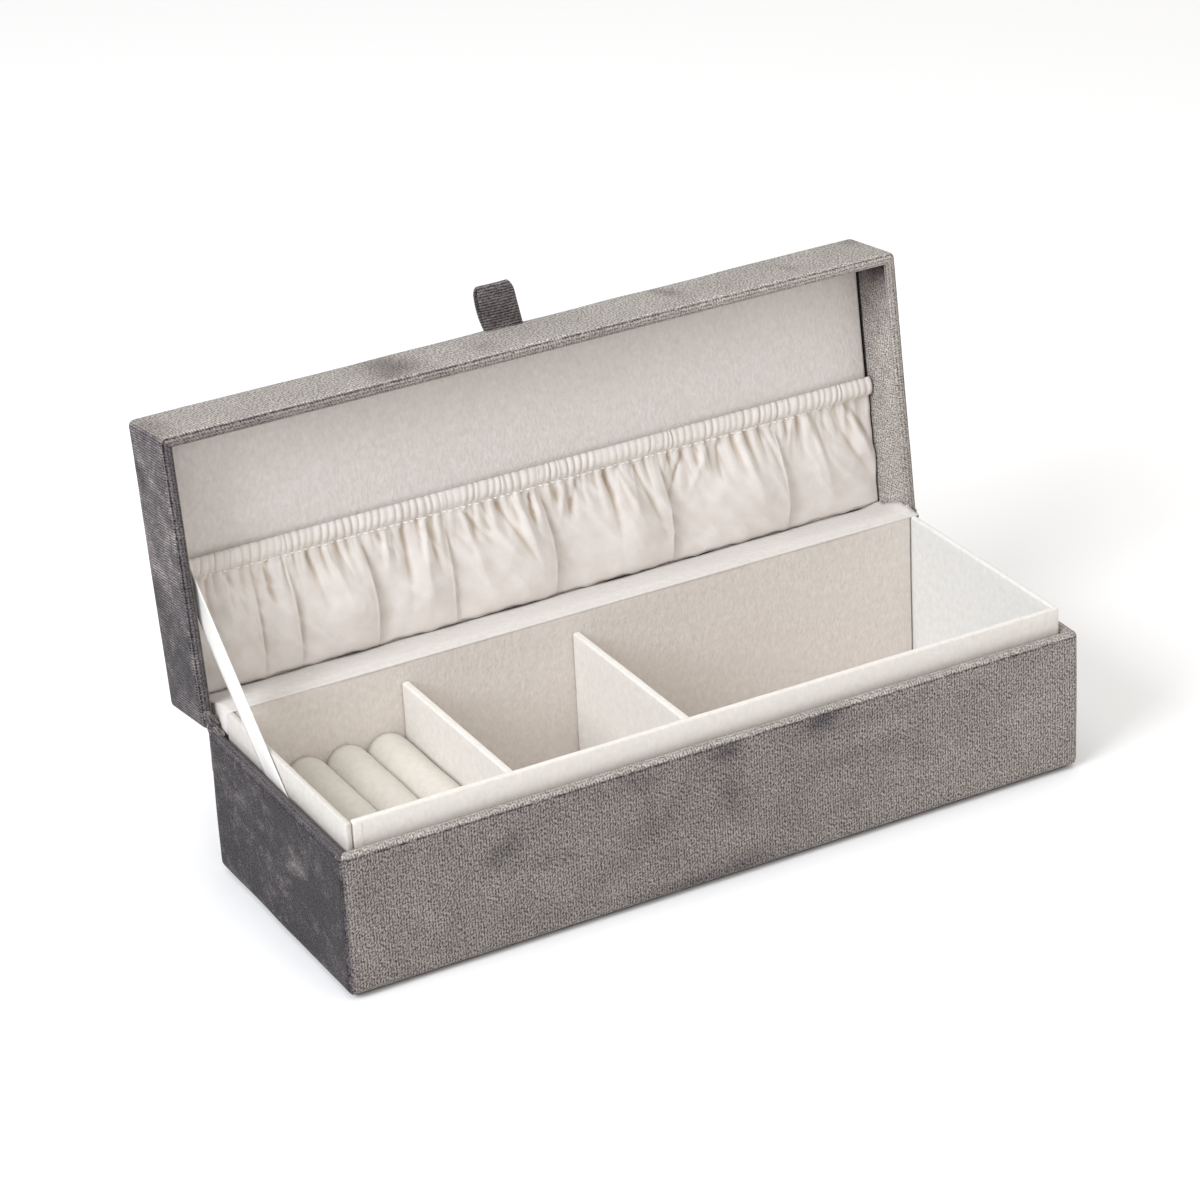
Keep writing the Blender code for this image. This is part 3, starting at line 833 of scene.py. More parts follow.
def make_base_velvet():
    """One cloth from the hem underneath, up the walls, over the rim and down inside."""
    low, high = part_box("base_velvet_cover")
    bottom = low.z
    r = FOLD_RADIUS
    foot = (FOOT_RADIUS, bottom + FOOT_RADIUS)
    outer = [(HEM_WIDTH, bottom)] + run((HEM_WIDTH, bottom), (FOOT_RADIUS, bottom), 3.5 * MM)
    outer += arc(foot, FOOT_RADIUS, 270, 180, FOLD_STEPS)
    outer += run((0, bottom + FOOT_RADIUS), (0, high.z - r), SKIN_STEP)
    fold_start = len(outer)
    outer += fold_over(high.z, 1)
    outer += run((WALL, high.z - r), (WALL, TURN_IN_BOTTOM), 3 * MM)
    lining = [(WALL, TURN_IN_BOTTOM), (WALL - VELVET, TURN_IN_BOTTOM)]
    lining += lining_over(high.z, 1)
    lining += arc(foot, FOOT_RADIUS - VELVET, 180, 270, 3)
    lining += [(HEM_WIDTH, bottom + VELVET)]
    piece = skin("velvet_base", outer, lining, low, high, fold_start, closed=True)
    middle = (low + high) / 2

    def outside(co, normal):
        facing_out = normal.x * (co.x - middle.x) + normal.y * (co.y - middle.y)
        if max(abs(co.x) / high.x, abs(co.y) / high.y) > 0.99 and facing_out > 0:
            return 1.0
        return 0.6 if co.z > high.z - 0.4 * MM else 0.0

    swell(piece, 0.30 * MM, 26 * MM, 1, outside)
    dress_pile(piece, base_pile_and_shade(low, high))
    place(piece, "case", "base_velvet_cover", slot="velvet")


def make_lid_velvet():
    """The lid's cloth: its flat top, its walls, over the rim and up inside."""
    low, high = local_box("lid_velvet_cover")
    r = FOLD_RADIUS
    top = high.z
    ceiling = top - 2 * VELVET - 2 * MM
    middle_inset = (high.y - low.y) / 2 - 1 * MM
    outer = [(middle_inset, top)] + run((middle_inset, top), (r, top), SKIN_STEP)
    outer += arc((r, top - r), r, 90, 180, FOLD_STEPS)
    outer += run((0, top - r), (0, low.z + r), SKIN_STEP)
    fold_start = len(outer)
    outer += fold_over(low.z, -1)
    outer += run((WALL, low.z + r), (WALL, ceiling), 1 * MM)
    lining = [(WALL, ceiling), (WALL - VELVET, ceiling)]
    lining += lining_over(low.z, -1)
    lining += arc((r, top - r), r - VELVET, 180, 90, 2)
    piece = skin("velvet_lid", outer, lining, low, high, fold_start, closed=False)

    def outside(co, normal):
        across = min(co.x - low.x, high.x - co.x, co.y - low.y, high.y - co.y)
        if across < 0.2 * MM or co.z > top - 0.2 * MM:
            return 1.0
        return 0.6 if co.z < low.z + 0.4 * MM else 0.0

    swell(piece, 0.28 * MM, 24 * MM, 2, outside)
    dress_pile(piece, lid_pile_and_shade(low, high))
    # On the lid, the painted sheen crest runs outside its painted shade line
    for item in piece.data.attributes["over_rim"].data:
        item.value = 1.7 * MM - item.value
    place(piece, "lid", "lid_velvet_cover", slot="velvet", in_lid=True)


def make_spine():
    """Velvet that joins the case's back to the lid's, bending about the hinge line."""
    low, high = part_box("hinge_spine_velvet")
    lift = 0.3 * MM
    corner = Vector((0, HINGE.y + lift, HINGE.z))
    down = Vector((0, corner.y, low.z))
    back = LID @ Vector((0, lift, local_box("hinge_spine_velvet")[1].z))
    path = [down.lerp(corner, t) for t in np.linspace(0, 0.9, 8)]
    path += [corner.lerp(back, t) for t in np.linspace(0.06, 1.0, 10)]
    points = [[(x, p.y, p.z) for x in np.linspace(low.x, high.x, 110)] for p in path]
    piece = grid_piece("velvet_spine", points, VELVET_CLOTH)
    dress_pile(piece, lambda co, normal, over_rim: (-0.05, 0.8, 0.1, 0.3))
    thicken(piece, VELVET, 1.0)
    start, end = corner - Vector((0, 0, 2 * MM)), corner + (back - corner) * 0.12
    bridge(piece, start, end, "hinge_spine_velvet", slot="velvet")


def make_pull_tab():
    """A loop of doubled velvet with rounded corners, sewn under the lid's front edge."""
    low, high = local_box("pull_tab")
    low.y -= TAB_EXTRA
    outer_half = (high.z - low.z) / 2
    middle = (high.z + low.z) / 2
    half = outer_half - TAB_PLY / 2
    nose = (low.y + outer_half, middle)
    root = high.y
    path = run((root + 1 * MM, middle + half), (nose[0], middle + half), 0.6 * MM)
    path += arc(nose, half, 90, 270, 10)
    path += run((nose[0], middle - half), (root + 1 * MM, middle - half), 0.6 * MM)
    across = np.linspace(-1, 1, 18)
    rows = []
    for y, z in path:
        reach = (root - y) / (root - low.y)
        half_width = TAB_WIDTH / 2 * (1 - 0.20 * max(0.0, (reach - 0.72) / 0.28) ** 2.5)
        droop = 0.25 * MM * math.sin(reach * 3.0)
        if z > middle:
            droop = 0.0
            z += TAB_GAPE * math.sin(math.pi * min(1.0, max(0.0, reach)) ** 0.8)
        centre = TAB_CENTRE + TAB_LEAN * (root - y)
        rows.append([
            (centre + a * half_width, y, z + droop * a * a - 0.15 * MM * math.cos(a * 2.2))
            for a in across
        ])
    piece = grid_piece("velvet_pull_tab", np.array(rows).transpose(1, 0, 2), VELVET_CLOTH)
    dress_pile(piece, lambda co, normal, over_rim: (-0.44, 1.0, 0.4, 0.85))
    thicken(piece, TAB_PLY)
    soften = piece.modifiers.new("soft edges", "BEVEL")
    soften.width = 0.25 * MM
    soften.segments = 2
    soften.limit_method = "ANGLE"
    place(piece, "lid", "pull_tab", slot="velvet", in_lid=True)


# ---------------- liner


def make_liner():
    """The liner's walls, floor and dividers, and a fold at its front left corner.

    Each is a felt-wrapped board: soft edges, and faces that aren't quite flat.
    """
    felts = {
        # the left wall's felt is darker, as painted shade
        "liner_left_wall": SHADED_LEFT_FELT,
        "liner_right_wall": PALE_FELT,
        "liner_front_wall": DIVIDER_FELT,
        "liner_back_wall": LINER_FELT,
        "liner_floor": LINER_FELT,
        "divider_left": DIVIDER_FELT,
        "divider_right": DIVIDER_FELT,
    }
    front_low, front_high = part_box("liner_front_wall")
    for index, (node, felt) in enumerate(felts.items()):
        low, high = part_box(node)
        if node == "liner_front_wall":
            high.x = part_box("liner_right_wall")[1].x
        elif node == "liner_right_wall":
            low.y = front_high.y - 0.2 * MM
        piece = rounded_box("felt_" + node, low, high, 0.75 * MM, 4 * MM, felt)
        swell(piece, 0.10 * MM, 18 * MM, 10 + index)
        place(piece, "case", node, slot="cream_liner")
    low = front_low + Vector((0.1, -0.18, 26)) * MM
    high = Vector((front_low.x + 2.9 * MM, front_low.y + 0.4 * MM, front_high.z - 0.7 * MM))
    piece = rounded_box("felt_corner_fold", low, high, 0.16 * MM, 1.5 * MM, DIVIDER_FELT)
    swell(piece, 0.12 * MM, 5 * MM, 19)
    place(piece, "case", slot="cream_liner")


def make_ring_rolls():
    """Covers of the ring rolls: taut felt over foam, tucked in at both sides."""
    for index in range(1, 5):
        node = f"ring_roll_cover_{index}"
        low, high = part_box(node)
        half = (high.x - low.x) / 2
        centre = (high.x + low.x) / 2
        top = high.z - half
        right, left = centre + half, centre - half
        profile = [(right, low.z)] + run((right, low.z), (right, top), 3 * MM)
        profile += arc((centre, top), half, 0, 180, 22)
        profile += run((left, top), (left, low.z), 3 * MM) + [(left, low.z)]
        rows = []
        for y in np.linspace(low.y, high.y, 34):
            pull = 0.5 * MM * math.exp(-min(y - low.y, high.y - y) / (1.2 * MM))
            narrow = 1 - pull / half
            rows.append([
                (centre + (x - centre) * narrow, y, z - pull * (z > top)) for x, z in profile
            ])
        piece = grid_piece(f"felt_ring_roll_{index}", rows, ROLL_FELT)
        swell(piece, 0.22 * MM, 16 * MM, 30 + index)
        thicken(piece, 0.6 * MM, -1.0)
        place(piece, "case", node, slot="cream_rolls")


def make_hinge_strip():
    """The cream strip over the liner's back wall that runs up under the pocket."""
    low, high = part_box("hinge_strip_inner")
    liner_low, liner_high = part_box("liner_back_wall")
    panel_face = local_box("lid_panel_pad")[0].z
    foot = local_box("pocket_fabric")[1].y
    start = Vector((0, liner_low.y + 0.2 * MM, liner_high.z + 0.35 * MM))
    over = Vector((0, liner_high.y + 0.4 * MM, liner_high.z + 0.4 * MM))
    end = LID @ Vector((0, foot + 0.65 * MM, panel_face - 0.95 * MM))
    path = spline(
        [
            start - Vector((0, 0.35, 0.5)) * MM,
            start,
            over,
            Vector((0, HINGE.y + 0.9 * MM, liner_high.z - 0.1 * MM)),
            end,
            LID @ Vector((0, foot + 0.1 * MM, panel_face - 0.3 * MM)),
            LID @ Vector((0, foot - 3.0 * MM, panel_face - 0.35 * MM)),
        ],
        36,
    )
    reach = high.x + 1.1 * MM
    rows = []
    for p in path:
        on_lid = ease(p.y, over.y, 6 * MM)
        row = []
        for x in np.linspace(low.x - 0.6 * MM, reach, 130):
            curled = ease(x, reach - 9 * MM, 9 * MM) ** 2
            curl = curled * (1.5 + 0.7 * math.sin((x + 2 * p.y) / (1.3 * MM))) * MM
            ripple = 0.25 * MM * math.sin(x / (7 * MM)) * math.sin(x / (19 * MM) + 1)
            rise = on_lid * (curl + ripple)
            row.append((x, p.y - 0.5 * rise, p.z + rise))
        rows.append(row)
    piece = grid_piece("felt_hinge_strip", rows, STRIP_FELT)
    swell(piece, 0.25 * MM, 20 * MM, 45)
    thicken(piece, 0.4 * MM, -1.0)
    bend_start, bend_end = (0, liner_low.y, liner_high.z), end - Vector((0, 4 * MM, 0))
    bridge(piece, bend_start, bend_end, "hinge_strip_inner", slot="cream_liner")
    make_hinge_flap("felt_hinge_flap_left", path, low.x - 0.35 * MM, -1)
    make_hinge_flap("felt_hinge_flap_right", path, high.x + 0.35 * MM, 1)


def make_hinge_flap(name, path, x, side):
    """An end of the strip, folded down between the liner and the lid's wall."""
    over = [p for p in path if p.y > path[1].y + 0.5 * MM][:-9]
    rows = []
    for p in over:
        drop = 8.5 * MM * (1 - 0.55 * (p.y - over[0].y) / (over[-1].y - over[0].y))
        bow = 0.5 * MM * ease(p.y, over[0].y, 5 * MM)
        rows.append([
            (x + side * bow * t, p.y + 0.8 * MM * t, p.z - 0.1 * MM - drop * t)
            for t in np.linspace(0, 1, 12)
        ])
    piece = grid_piece(name, rows, STRIP_FELT)
    swell(piece, 0.15 * MM, 4 * MM, 47)
    thicken(piece, 0.35 * MM)
    bridge(piece, over[0], (0, HINGE.y, over[0].z), slot="cream_liner")


# Course of the bunched velvet at an end of the hinge: X outwards, Y and Z in millimetres
TUCK_PATH = [
    (127.0, 42.6, 48.0),
    (127.6, 44.9, 49.4),
    (127.9, 46.4, 50.2),
    (128.2, 46.9, 51.8),
    (128.8, 47.4, 53.6),
    (129.3, 48.2, 55.4),
]
TUCK_RADIUS = 1.45 * MM

RIBBON_SLOPE = math.radians(40.6)
RIBBON_LENGTH = 119.5 * MM
RIBBON_WIDTH = 10.5 * MM


def make_hinge_tucks():
    """Bunched velvet where the case's rim turns into the lid's, at both hinge ends."""
    for name, side in (("velvet_hinge_tuck_left", -1), ("velvet_hinge_tuck_right", 1)):
        path = spline([Vector((side * x, y, z)) * MM for x, y, z in TUCK_PATH], 44)
        last = len(path) - 1
        rows = []
        for i, p in enumerate(path):
            t = i / last
            forward = path[min(i + 1, last)] - path[max(i - 1, 0)]
            up = Vector((1, 0, 0)).cross(forward).normalized()
            thick = TUCK_RADIUS * (0.3 + 0.7 * math.sin(math.pi * t) ** 0.5)
            row = []
            for a in np.linspace(0, math.tau, 37)[:-1]:
                twist = 0.27 * math.sin(3 * a + 11 * t) + 0.17 * math.sin(5 * a - 17 * t + 1)
                radius = thick * (1 + twist)
                out = Vector((1.15 * math.cos(a) * radius, 0, 0))
                row.append(p + out + up * math.sin(a) * radius)
            rows.append(row)
        piece = grid_piece(name, rows, VELVET_CLOTH, wrap_columns=True, caps=True)
        face_outwards(piece)
        # painted shade: the bunched velvet is darker on its undersides and lighter on top
        dress_pile(piece, lambda co, normal, over_rim: (-0.45 + 0.45 * normal.z, 0.8, 0.4, 0.8))
        place(piece, "case", slot="velvet")
        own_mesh(piece)


def catmull_rom(p0, p1, p2, p3, u):
    """A point, or an array of them, between p1 and p2 on a Catmull-Rom curve."""
    curve = 2 * p1 + (p2 - p0) * u
    curve = curve + (2 * p0 - 5 * p1 + 4 * p2 - p3) * u * u
    return (curve + (3 * p1 - p0 - 3 * p2 + p3) * u * u * u) / 2


def spline(controls, count):
    """Points of a smooth curve through the control points."""
    padded = [controls[0] * 2 - controls[1], *controls, controls[-1] * 2 - controls[-2]]
    spans = len(controls) - 1
    points = []
    for i in range(count):
        t = i / (count - 1) * spans
        k = min(int(t), spans - 1)
        points.append(catmull_rom(*padded[k : k + 4], t - k))
    return points


def make_ribbon():
    """The taut ribbon from beside the liner up to the lid's panel."""
    low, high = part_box("ribbon_stay")
    middle_x = (low.x + high.x) / 2
    points = [v.co for v in frame["nodes"]["ribbon_stay"].data.vertices]
    centre = sum(points, Vector()) / len(points)
    along = Vector((0, math.cos(RIBBON_SLOPE), math.sin(RIBBON_SLOPE)))
    across = Vector((0, -along.z, along.y))
    rows = []
    for w in np.linspace(-0.5, 0.5, 9):
        row = []
        for t in np.linspace(-0.5, 0.5, 60):
            p = centre + along * (RIBBON_LENGTH * t) + across * (RIBBON_WIDTH * w)
            bow = 0.12 * MM * math.sin(w * 6) * math.sin(t * 9)
            row.append((middle_x + bow, p.y, p.z))
        rows.append(row)
    piece = grid_piece("satin_ribbon", rows, SATIN)
    thicken(piece, 0.3 * MM)
    start = centre - along * (RIBBON_LENGTH * 0.30)
    end = centre + along * (RIBBON_LENGTH * 0.45)
    bridge(piece, start, end, "ribbon_stay", slot="satin")


# ---------------- lid inside


def make_lid_panel():
    """The lid's padded panel: felt drawn over a thin pad, crowned towards the middle."""
    low, high = local_box("lid_panel_pad")
    piece = rounded_box("felt_lid_panel", low, high, 1.0 * MM, 3 * MM, PANEL_FELT)
    for vert in piece.data.vertices:
        co = vert.co
        if co.z < (low.z + high.z) / 2:
            edge = min(co.x - low.x, high.x - co.x, co.y - low.y, high.y - co.y)
            co.z -= 0.35 * MM * (1 - math.exp(-edge / (5 * MM)))
    swell(piece, 0.22 * MM, 30 * MM, 50, lambda co, normal: max(0.0, -normal.z))
    place(piece, "lid", "lid_panel_pad", slot="cream_liner", in_lid=True)


# The pocket's sizes in millimetres: distances up the panel from the hinge, and heights off it
POCKET_BOTTOM = 4.9
STITCH_LINE = 43.0
STITCH_HEIGHT = 2.7
RUFFLE_PITCH = 2.45
POCKET_COLUMNS = 740
POCKET_ROWS = 44
# Running stitches: pitch, length and radius, in millimetres
STITCH_PITCH = 2.3
STITCH_LENGTH = 1.4
STITCH_RADIUS = 0.29
# Knife pleats: X of each fold at the bottom edge, and the cloth hidden behind it
PLEATS = [
    (-100.7, 2.0),
    (-88.2, 3.5),
    (-61.7, 6.0),
    (-33.5, 2.0),
    (1.9, 7.0),
    (45.4, 6.5),
    (89.4, 6.0),
]
# Soft folds that fall from the gathers: X at the stitches, lean to the right per
# millimetre down, length, height (a valley when negative) and half width
FALLS = [
    (-116.3, 0.07, 27, -0.7, 1.3),
    (-110.5, 0.10, 20, 0.6, 1.2),
    (-97.8, 0.30, 18, -0.6, 0.9),
    (-95.0, 0.25, 16, 0.5, 1.0),
    (-82.0, 0.15, 22, -0.6, 1.1),
    (-76.0, 0.25, 24, 0.7, 1.4),
    (-70.5, 0.20, 14, -0.5, 0.8),
    (-56.0, -0.05, 15, 0.7, 1.2),
    (-50.0, 0.05, 30, -0.7, 1.3),
    (-43.4, 0.03, 34, 0.9, 1.8),
    (-39.5, 0.10, 20, -0.6, 0.9),
    (-30.0, 0.36, 33, 0.9, 1.5),
    (-27.0, 0.62, 16, -0.7, 1.0),
    (-20.5, 0.45, 24, 0.6, 1.1),
    (-14.5, 0.40, 32, -0.9, 1.3),
    (-11.5, 0.36, 34, 0.9, 1.6),
    (-4.0, 0.10, 12, -0.9, 0.9),
    (7.5, -0.10, 16, 0.7, 1.0),
    (13.0, -0.30, 14, -0.6, 0.9),
    (24.5, 0.05, 26, -0.7, 1.1),
    (29.5, 0.26, 24, 0.9, 1.3),
    (36.0, 0.22, 30, -0.8, 1.1),
    (52.0, -0.30, 18, -0.7, 0.9),
    (62.5, -0.60, 18, 0.55, 1.2),
    (66.5, 0.05, 16, -0.7, 1.0),
    (74.0, 0.20, 28, 0.7, 1.5),
    (82.0, 0.30, 22, -0.6, 1.1),
    (94.0, -0.20, 14, 0.6, 0.9),
    (100.0, 0.25, 28, 0.9, 1.4),
    (104.0, 0.22, 20, -0.7, 1.0),
    (110.0, 0.50, 32, -0.8, 1.1),
    (113.5, 0.48, 30, 0.8, 1.1),
    (118.0, 0.40, 22, -0.6, 0.8),
]
# The channel over the elastic, past the stitches: distance up, height and share of the ruffle
CHANNEL = [
    (43.9, 2.6, 0.34),
    (44.6, 3.4, 0.54),
    (46.0, 3.9, 0.62),
    (47.6, 3.8, 0.64),
    (48.9, 3.3, 0.58),
    (49.7, 2.7, 0.42),
    (49.5, 1.9, 0.32),
    (48.0, 1.2, 0.28),
    (45.5, 1.0, 0.30),
    (43.4, 1.2, 0.20),
]
# Cloth simulations run at this many units to the millimetre
SIM_SCALE = 0.01
SIM_FRAMES = 12
FULLNESS = 1.06
FABRIC = {
    "quality": 8,
    "mass": 0.1,
    "air_damping": 2.0,
    "tension_stiffness": 20,
    "compression_stiffness": 20,
    "tension_damping": 8,
    "compression_damping": 8,
    "shear_stiffness": 6,
    "shear_damping": 8,
    "bending_stiffness": 0.3,
    "bending_damping": 0.5,
    "use_pressure": True,
    "uniform_pressure_force": 0.3,
}


def pleat_row(t, left, right):
    """The cloth's course across the pocket at height t, from 0 at the bottom to 1.

    Gives spans, each (start, end, belly), and the folds between them as control points.
    """
    fold_open = 1 - ease(t, 0.75, 0.25)
    fullness = math.sin(math.pi * t)
    low_side = 1.15 + 0.5 * fullness**0.8
    low_side += (STITCH_HEIGHT - low_side) * ease(t, 0.7, 0.3)
    belly = 1.05 * math.sin(math.pi * t**0.75) ** 0.8 * fold_open
    spans, folds = [], []
    start = (left, 1.1 + 0.5 * fullness)
    for x, hidden in PLEATS:
        size = min(1.0, hidden / 6)
        edge = x + size * (1.6 * fullness * (1 - t) - 2.4 * t**3)
        height = 1.6 + (1.0 + 2.4 * size) * math.sin(math.pi * t**0.8) ** 0.7
        height += (STITCH_HEIGHT - height) * ease(t, 0.8, 0.2)
        behind = hidden * (1 - t) ** 0.6 * 0.8 + 0.15
        drop = height - low_side
        fold = [
            (edge - 1.2, height),
            (edge - 0.25, height - 0.10 * fold_open),
            (edge, height - 0.45 * fold_open),
            (edge - 0.5 * fold_open, height - 0.8 * fold_open * min(1, drop)),
            (edge - behind, low_side + 0.35 * drop * fold_open),
            (edge - behind * 0.9 + 0.2, low_side + 0.05),
            (edge + 0.9, low_side),
        ]
        spans.append((start, fold[0], belly))
        folds.append(fold)
        start = fold[-1]
    spans.append((start, (right, 0.9 + 0.7 * fullness), belly))
    return spans, folds


def pocket_start(left, right, rows=34, step=1.15, fold_points=13):
    """The pleated pocket before it relaxes, rows by columns, and its fold columns."""
    counts = [
        max(4, round((end[0] - start[0]) / step))
        for start, end, _ in pleat_row(0.0, left, right)[0]
    ]
    grid = []
    for t in np.linspace(0, 1, rows):
        spans, folds = pleat_row(t, left, right)
        line, held = [], []
        for index, (start, end, belly) in enumerate(spans):
            u = np.linspace(0, 1, counts[index] + 1)[:-1]
            width = end[0] - start[0]
            height = start[1] + (end[1] - start[1]) * smooth_step(u * 1.15)
            height = height + belly * min(1, width / 18) * np.sin(np.pi * u) ** 0.8
            line += list(zip(start[0] + width * u, height))
            held += [False] * len(u)
            if index < len(folds):
                line += spline([Vector(p) for p in folds[index]], fold_points)[:-1]
                held += [True] * (fold_points - 1)
        line.append(spans[-1][1])
        held.append(True)
        distance = POCKET_BOTTOM + (STITCH_LINE - POCKET_BOTTOM) * t
        grid.append([(x, distance, height) for x, height in line])
    grid = np.array(grid)
    rng = np.random.default_rng(4)
    x = grid[-1, :, 0]
    drift = np.interp(x, np.linspace(left, right, 90), np.cumsum(rng.uniform(-0.7, 0.7, 90)))
    wave = np.sin(math.tau * x / (2 * RUFFLE_PITCH) + drift)
    amplitude = np.interp(x, np.linspace(left, right, 70), rng.uniform(0.2, 0.7, 70))
    t = np.linspace(0, 1, rows)[:, None]
    grid[..., 2] += amplitude * wave * smooth_step((t - 0.5) / 0.5)
    return grid, np.array(held)


def relax_cloth(start, held):
    """Let the panels between the held folds sag and crease, as fuller cloth than fits."""
    rows, columns = start.shape[:2]
    index = np.arange(rows * columns).reshape(rows, columns)
    cloth = grid_piece("cloth at work", start * SIM_SCALE, COTTON)
    cloth.shape_key_add(name="Basis")
    cut = cloth.shape_key_add(name="cut")
    cut.data.foreach_set("co", (start * SIM_SCALE * FULLNESS).ravel())
    pinned = cloth.vertex_groups.new(name="sewn")
    for sewn in (index[0], index[-1], index[:, 0], index[:, -1], index[:, held].ravel()):
        pinned.add(sewn.tolist(), 1.0, "REPLACE")
    modifier = cloth.modifiers.new("cloth", "CLOTH")
    for name, value in FABRIC.items():
        setattr(modifier.settings, name, value)
    modifier.settings.vertex_group_mass = "sewn"
    modifier.settings.rest_shape_key = cut
    modifier.settings.effector_weights.gravity = 0.0
    contact = modifier.collision_settings
    contact.distance_min = 0.3 * SIM_SCALE
    contact.use_self_collision = True
    contact.self_distance_min = 0.2 * SIM_SCALE
    contact.collision_quality = 3
    corners = [(-2, -1, 0), (2, -1, 0), (2, 1, 0), (-2, 1, 0)]
    plate = new_object("plate at work", new_mesh("plate at work", corners, [(0, 1, 2, 3)]))
    plate.modifiers.new("collision", "COLLISION")
    plate.collision.thickness_outer = 0.3 * SIM_SCALE
    scene = bpy.context.scene
    modifier.point_cache.frame_start = 1
    modifier.point_cache.frame_end = SIM_FRAMES
    for number in range(1, SIM_FRAMES + 1):
        scene.frame_set(number)
    evaluated = cloth.evaluated_get(bpy.context.evaluated_depsgraph_get())
    relaxed = np.zeros(rows * columns * 3)
    evaluated.data.vertices.foreach_get("co", relaxed)
    scene.frame_set(1)
    for helper in (cloth, plate):
        bpy.data.objects.remove(helper)
    return relaxed.reshape(rows, columns, 3) / SIM_SCALE


def resample(grid, count, axis):
    """A smooth curve's worth of points along one axis of a grid."""
    grid = np.moveaxis(grid, axis, 0)
    last = grid.shape[0] - 1
    t = np.linspace(0, last, count)
    k = np.clip(t.astype(int), 0, last - 1)
    p = np.concatenate([2 * grid[:1] - grid[1:2], grid, 2 * grid[-1:] - grid[-2:-1]])
    curve = catmull_rom(p[k], p[k + 1], p[k + 2], p[k + 3], (t - k)[:, None, None])
    return np.moveaxis(curve, 0, axis)


def gather(panel, left, right):
    """Add the gathers under the stitches, falling folds and the channel above them."""
    grid = resample(resample(panel, POCKET_COLUMNS, 1), POCKET_ROWS, 0)
    x = grid[-1, :, 0]
    rng = np.random.default_rng(7)

    def along(values):
        return np.interp(x, np.linspace(left, right, len(values)), values)

    drift = along(np.cumsum(rng.uniform(-1.7, 1.7, 110)))
    size = along(rng.uniform(0.15, 0.95, 130))
    phase = math.tau * x / RUFFLE_PITCH + drift
    ruffle = size * (np.abs(np.sin(phase / 2)) ** 0.8 * 1.7 - 1.2)
    t = np.linspace(0, 1, POCKET_ROWS)[:, None]
    reach = along(rng.uniform(0.60, 0.86, 120))
    grid[..., 2] += 0.42 * ruffle * smooth_step((t - reach) / (1 - reach)) ** 1.3
    below = np.clip(STITCH_LINE - grid[..., 1], 0, None)
    random_falls = [
        (
            rng.uniform(left, right),
            rng.uniform(-0.15, 0.65),
            rng.uniform(7, 24),
            rng.uniform(0.2, 0.5) * rng.choice([-1, 1]),
            rng.uniform(0.45, 1.0),
        )
        for _ in range(70)
    ]
    strong_falls = [(x, lean, 1.2 * length, 1.4 * h, w) for x, lean, length, h, w in FALLS]
    for middle, lean, length, height, half_width in strong_falls + random_falls:
        width = half_width * (0.75 + below / 18)
        bend = 1.2 * np.sin(below / 9 + middle)
        away = np.abs(grid[..., 0] - middle - lean * below - bend) / width
        fade = smooth_step(below / 2.5) * smooth_step((length - below) / length * 1.5)
        grid[..., 2] += 1.15 * height * fade * np.exp(-(away**1.25))
    crumple = np.array([
        [
            noise.noise((px / 11 + down / 30, down / 17, 3.0)) ** 2
            - 1.3 * abs(noise.noise((px / 8 - down / 11, down / 21, 9.0))) ** 0.8
            for px, down in zip(*line)
        ]
        for line in zip(grid[..., 0], below)
    ])
    settled = smooth_step(below / 9) * smooth_step((STITCH_LINE - POCKET_BOTTOM - below) / 9)
    grid[..., 2] += 0.9 * crumple * settled
    grid[..., 2] = np.maximum(grid[..., 2], 0.75)
    foot = grid[0, :, 0]
    grid[0, :, 1] += 0.28 * np.sin(foot / 3.1) + 0.2 * np.sin(foot / 1.3)
    channel = []
    for distance, height, share in CHANNEL:
        scallop = 0.30 * ruffle * (distance > 48.5)
        slide = (0.5 + 0.5 * np.sin(drift + x / 9)) * (distance - STITCH_LINE) / 5
        channel.append(np.stack([x + slide, distance + scallop, height + share * ruffle], axis=1))
    return np.concatenate([grid, np.array(channel)], axis=0)


def crease_depth(height, reach=5):
    """How deep each point of a cloth lies below its neighbours along the row, from 0 to 1."""
    level = np.zeros_like(height)
    for shift in range(-reach, reach + 1):
        level += np.roll(height, shift, axis=1) / (2 * reach + 1)
    depth = np.clip((level - height - 0.05) / 0.55, 0.0, 1.0)
    depth[:, :reach] = depth[:, -reach:] = 0.0
    return depth


def on_panel(points):
    """Pocket coordinates in millimetres, as closed-lid coordinates in metres."""
    face = local_box("lid_panel_pad")[0].z
    x, up, off = np.moveaxis(points * MM, -1, 0)
    return np.stack([x, -up, face - off], axis=-1)


def make_pocket():
    """The gathered cotton pocket: pleated and glued down at the bottom, gathered above."""
    low, high = local_box("pocket_fabric")
    left, right = low.x / MM, high.x / MM
    panel, held = pocket_start(left, right)
    panel = relax_cloth(panel, held)
    surface = gather(panel, left, right)
    piece = grid_piece("cotton_pocket", on_panel(surface), COTTON)
    # painted shade in the cotton's creases, from how deep each point lies
    store(piece, "painted_crease_shade", crease_depth(surface[..., 2]).ravel())
    thicken(piece, 0.25 * MM)
    place(piece, "lid", "pocket_fabric", slot="cream_pocket", in_lid=True)
    stitches = make_stitches(surface[POCKET_ROWS - 1])


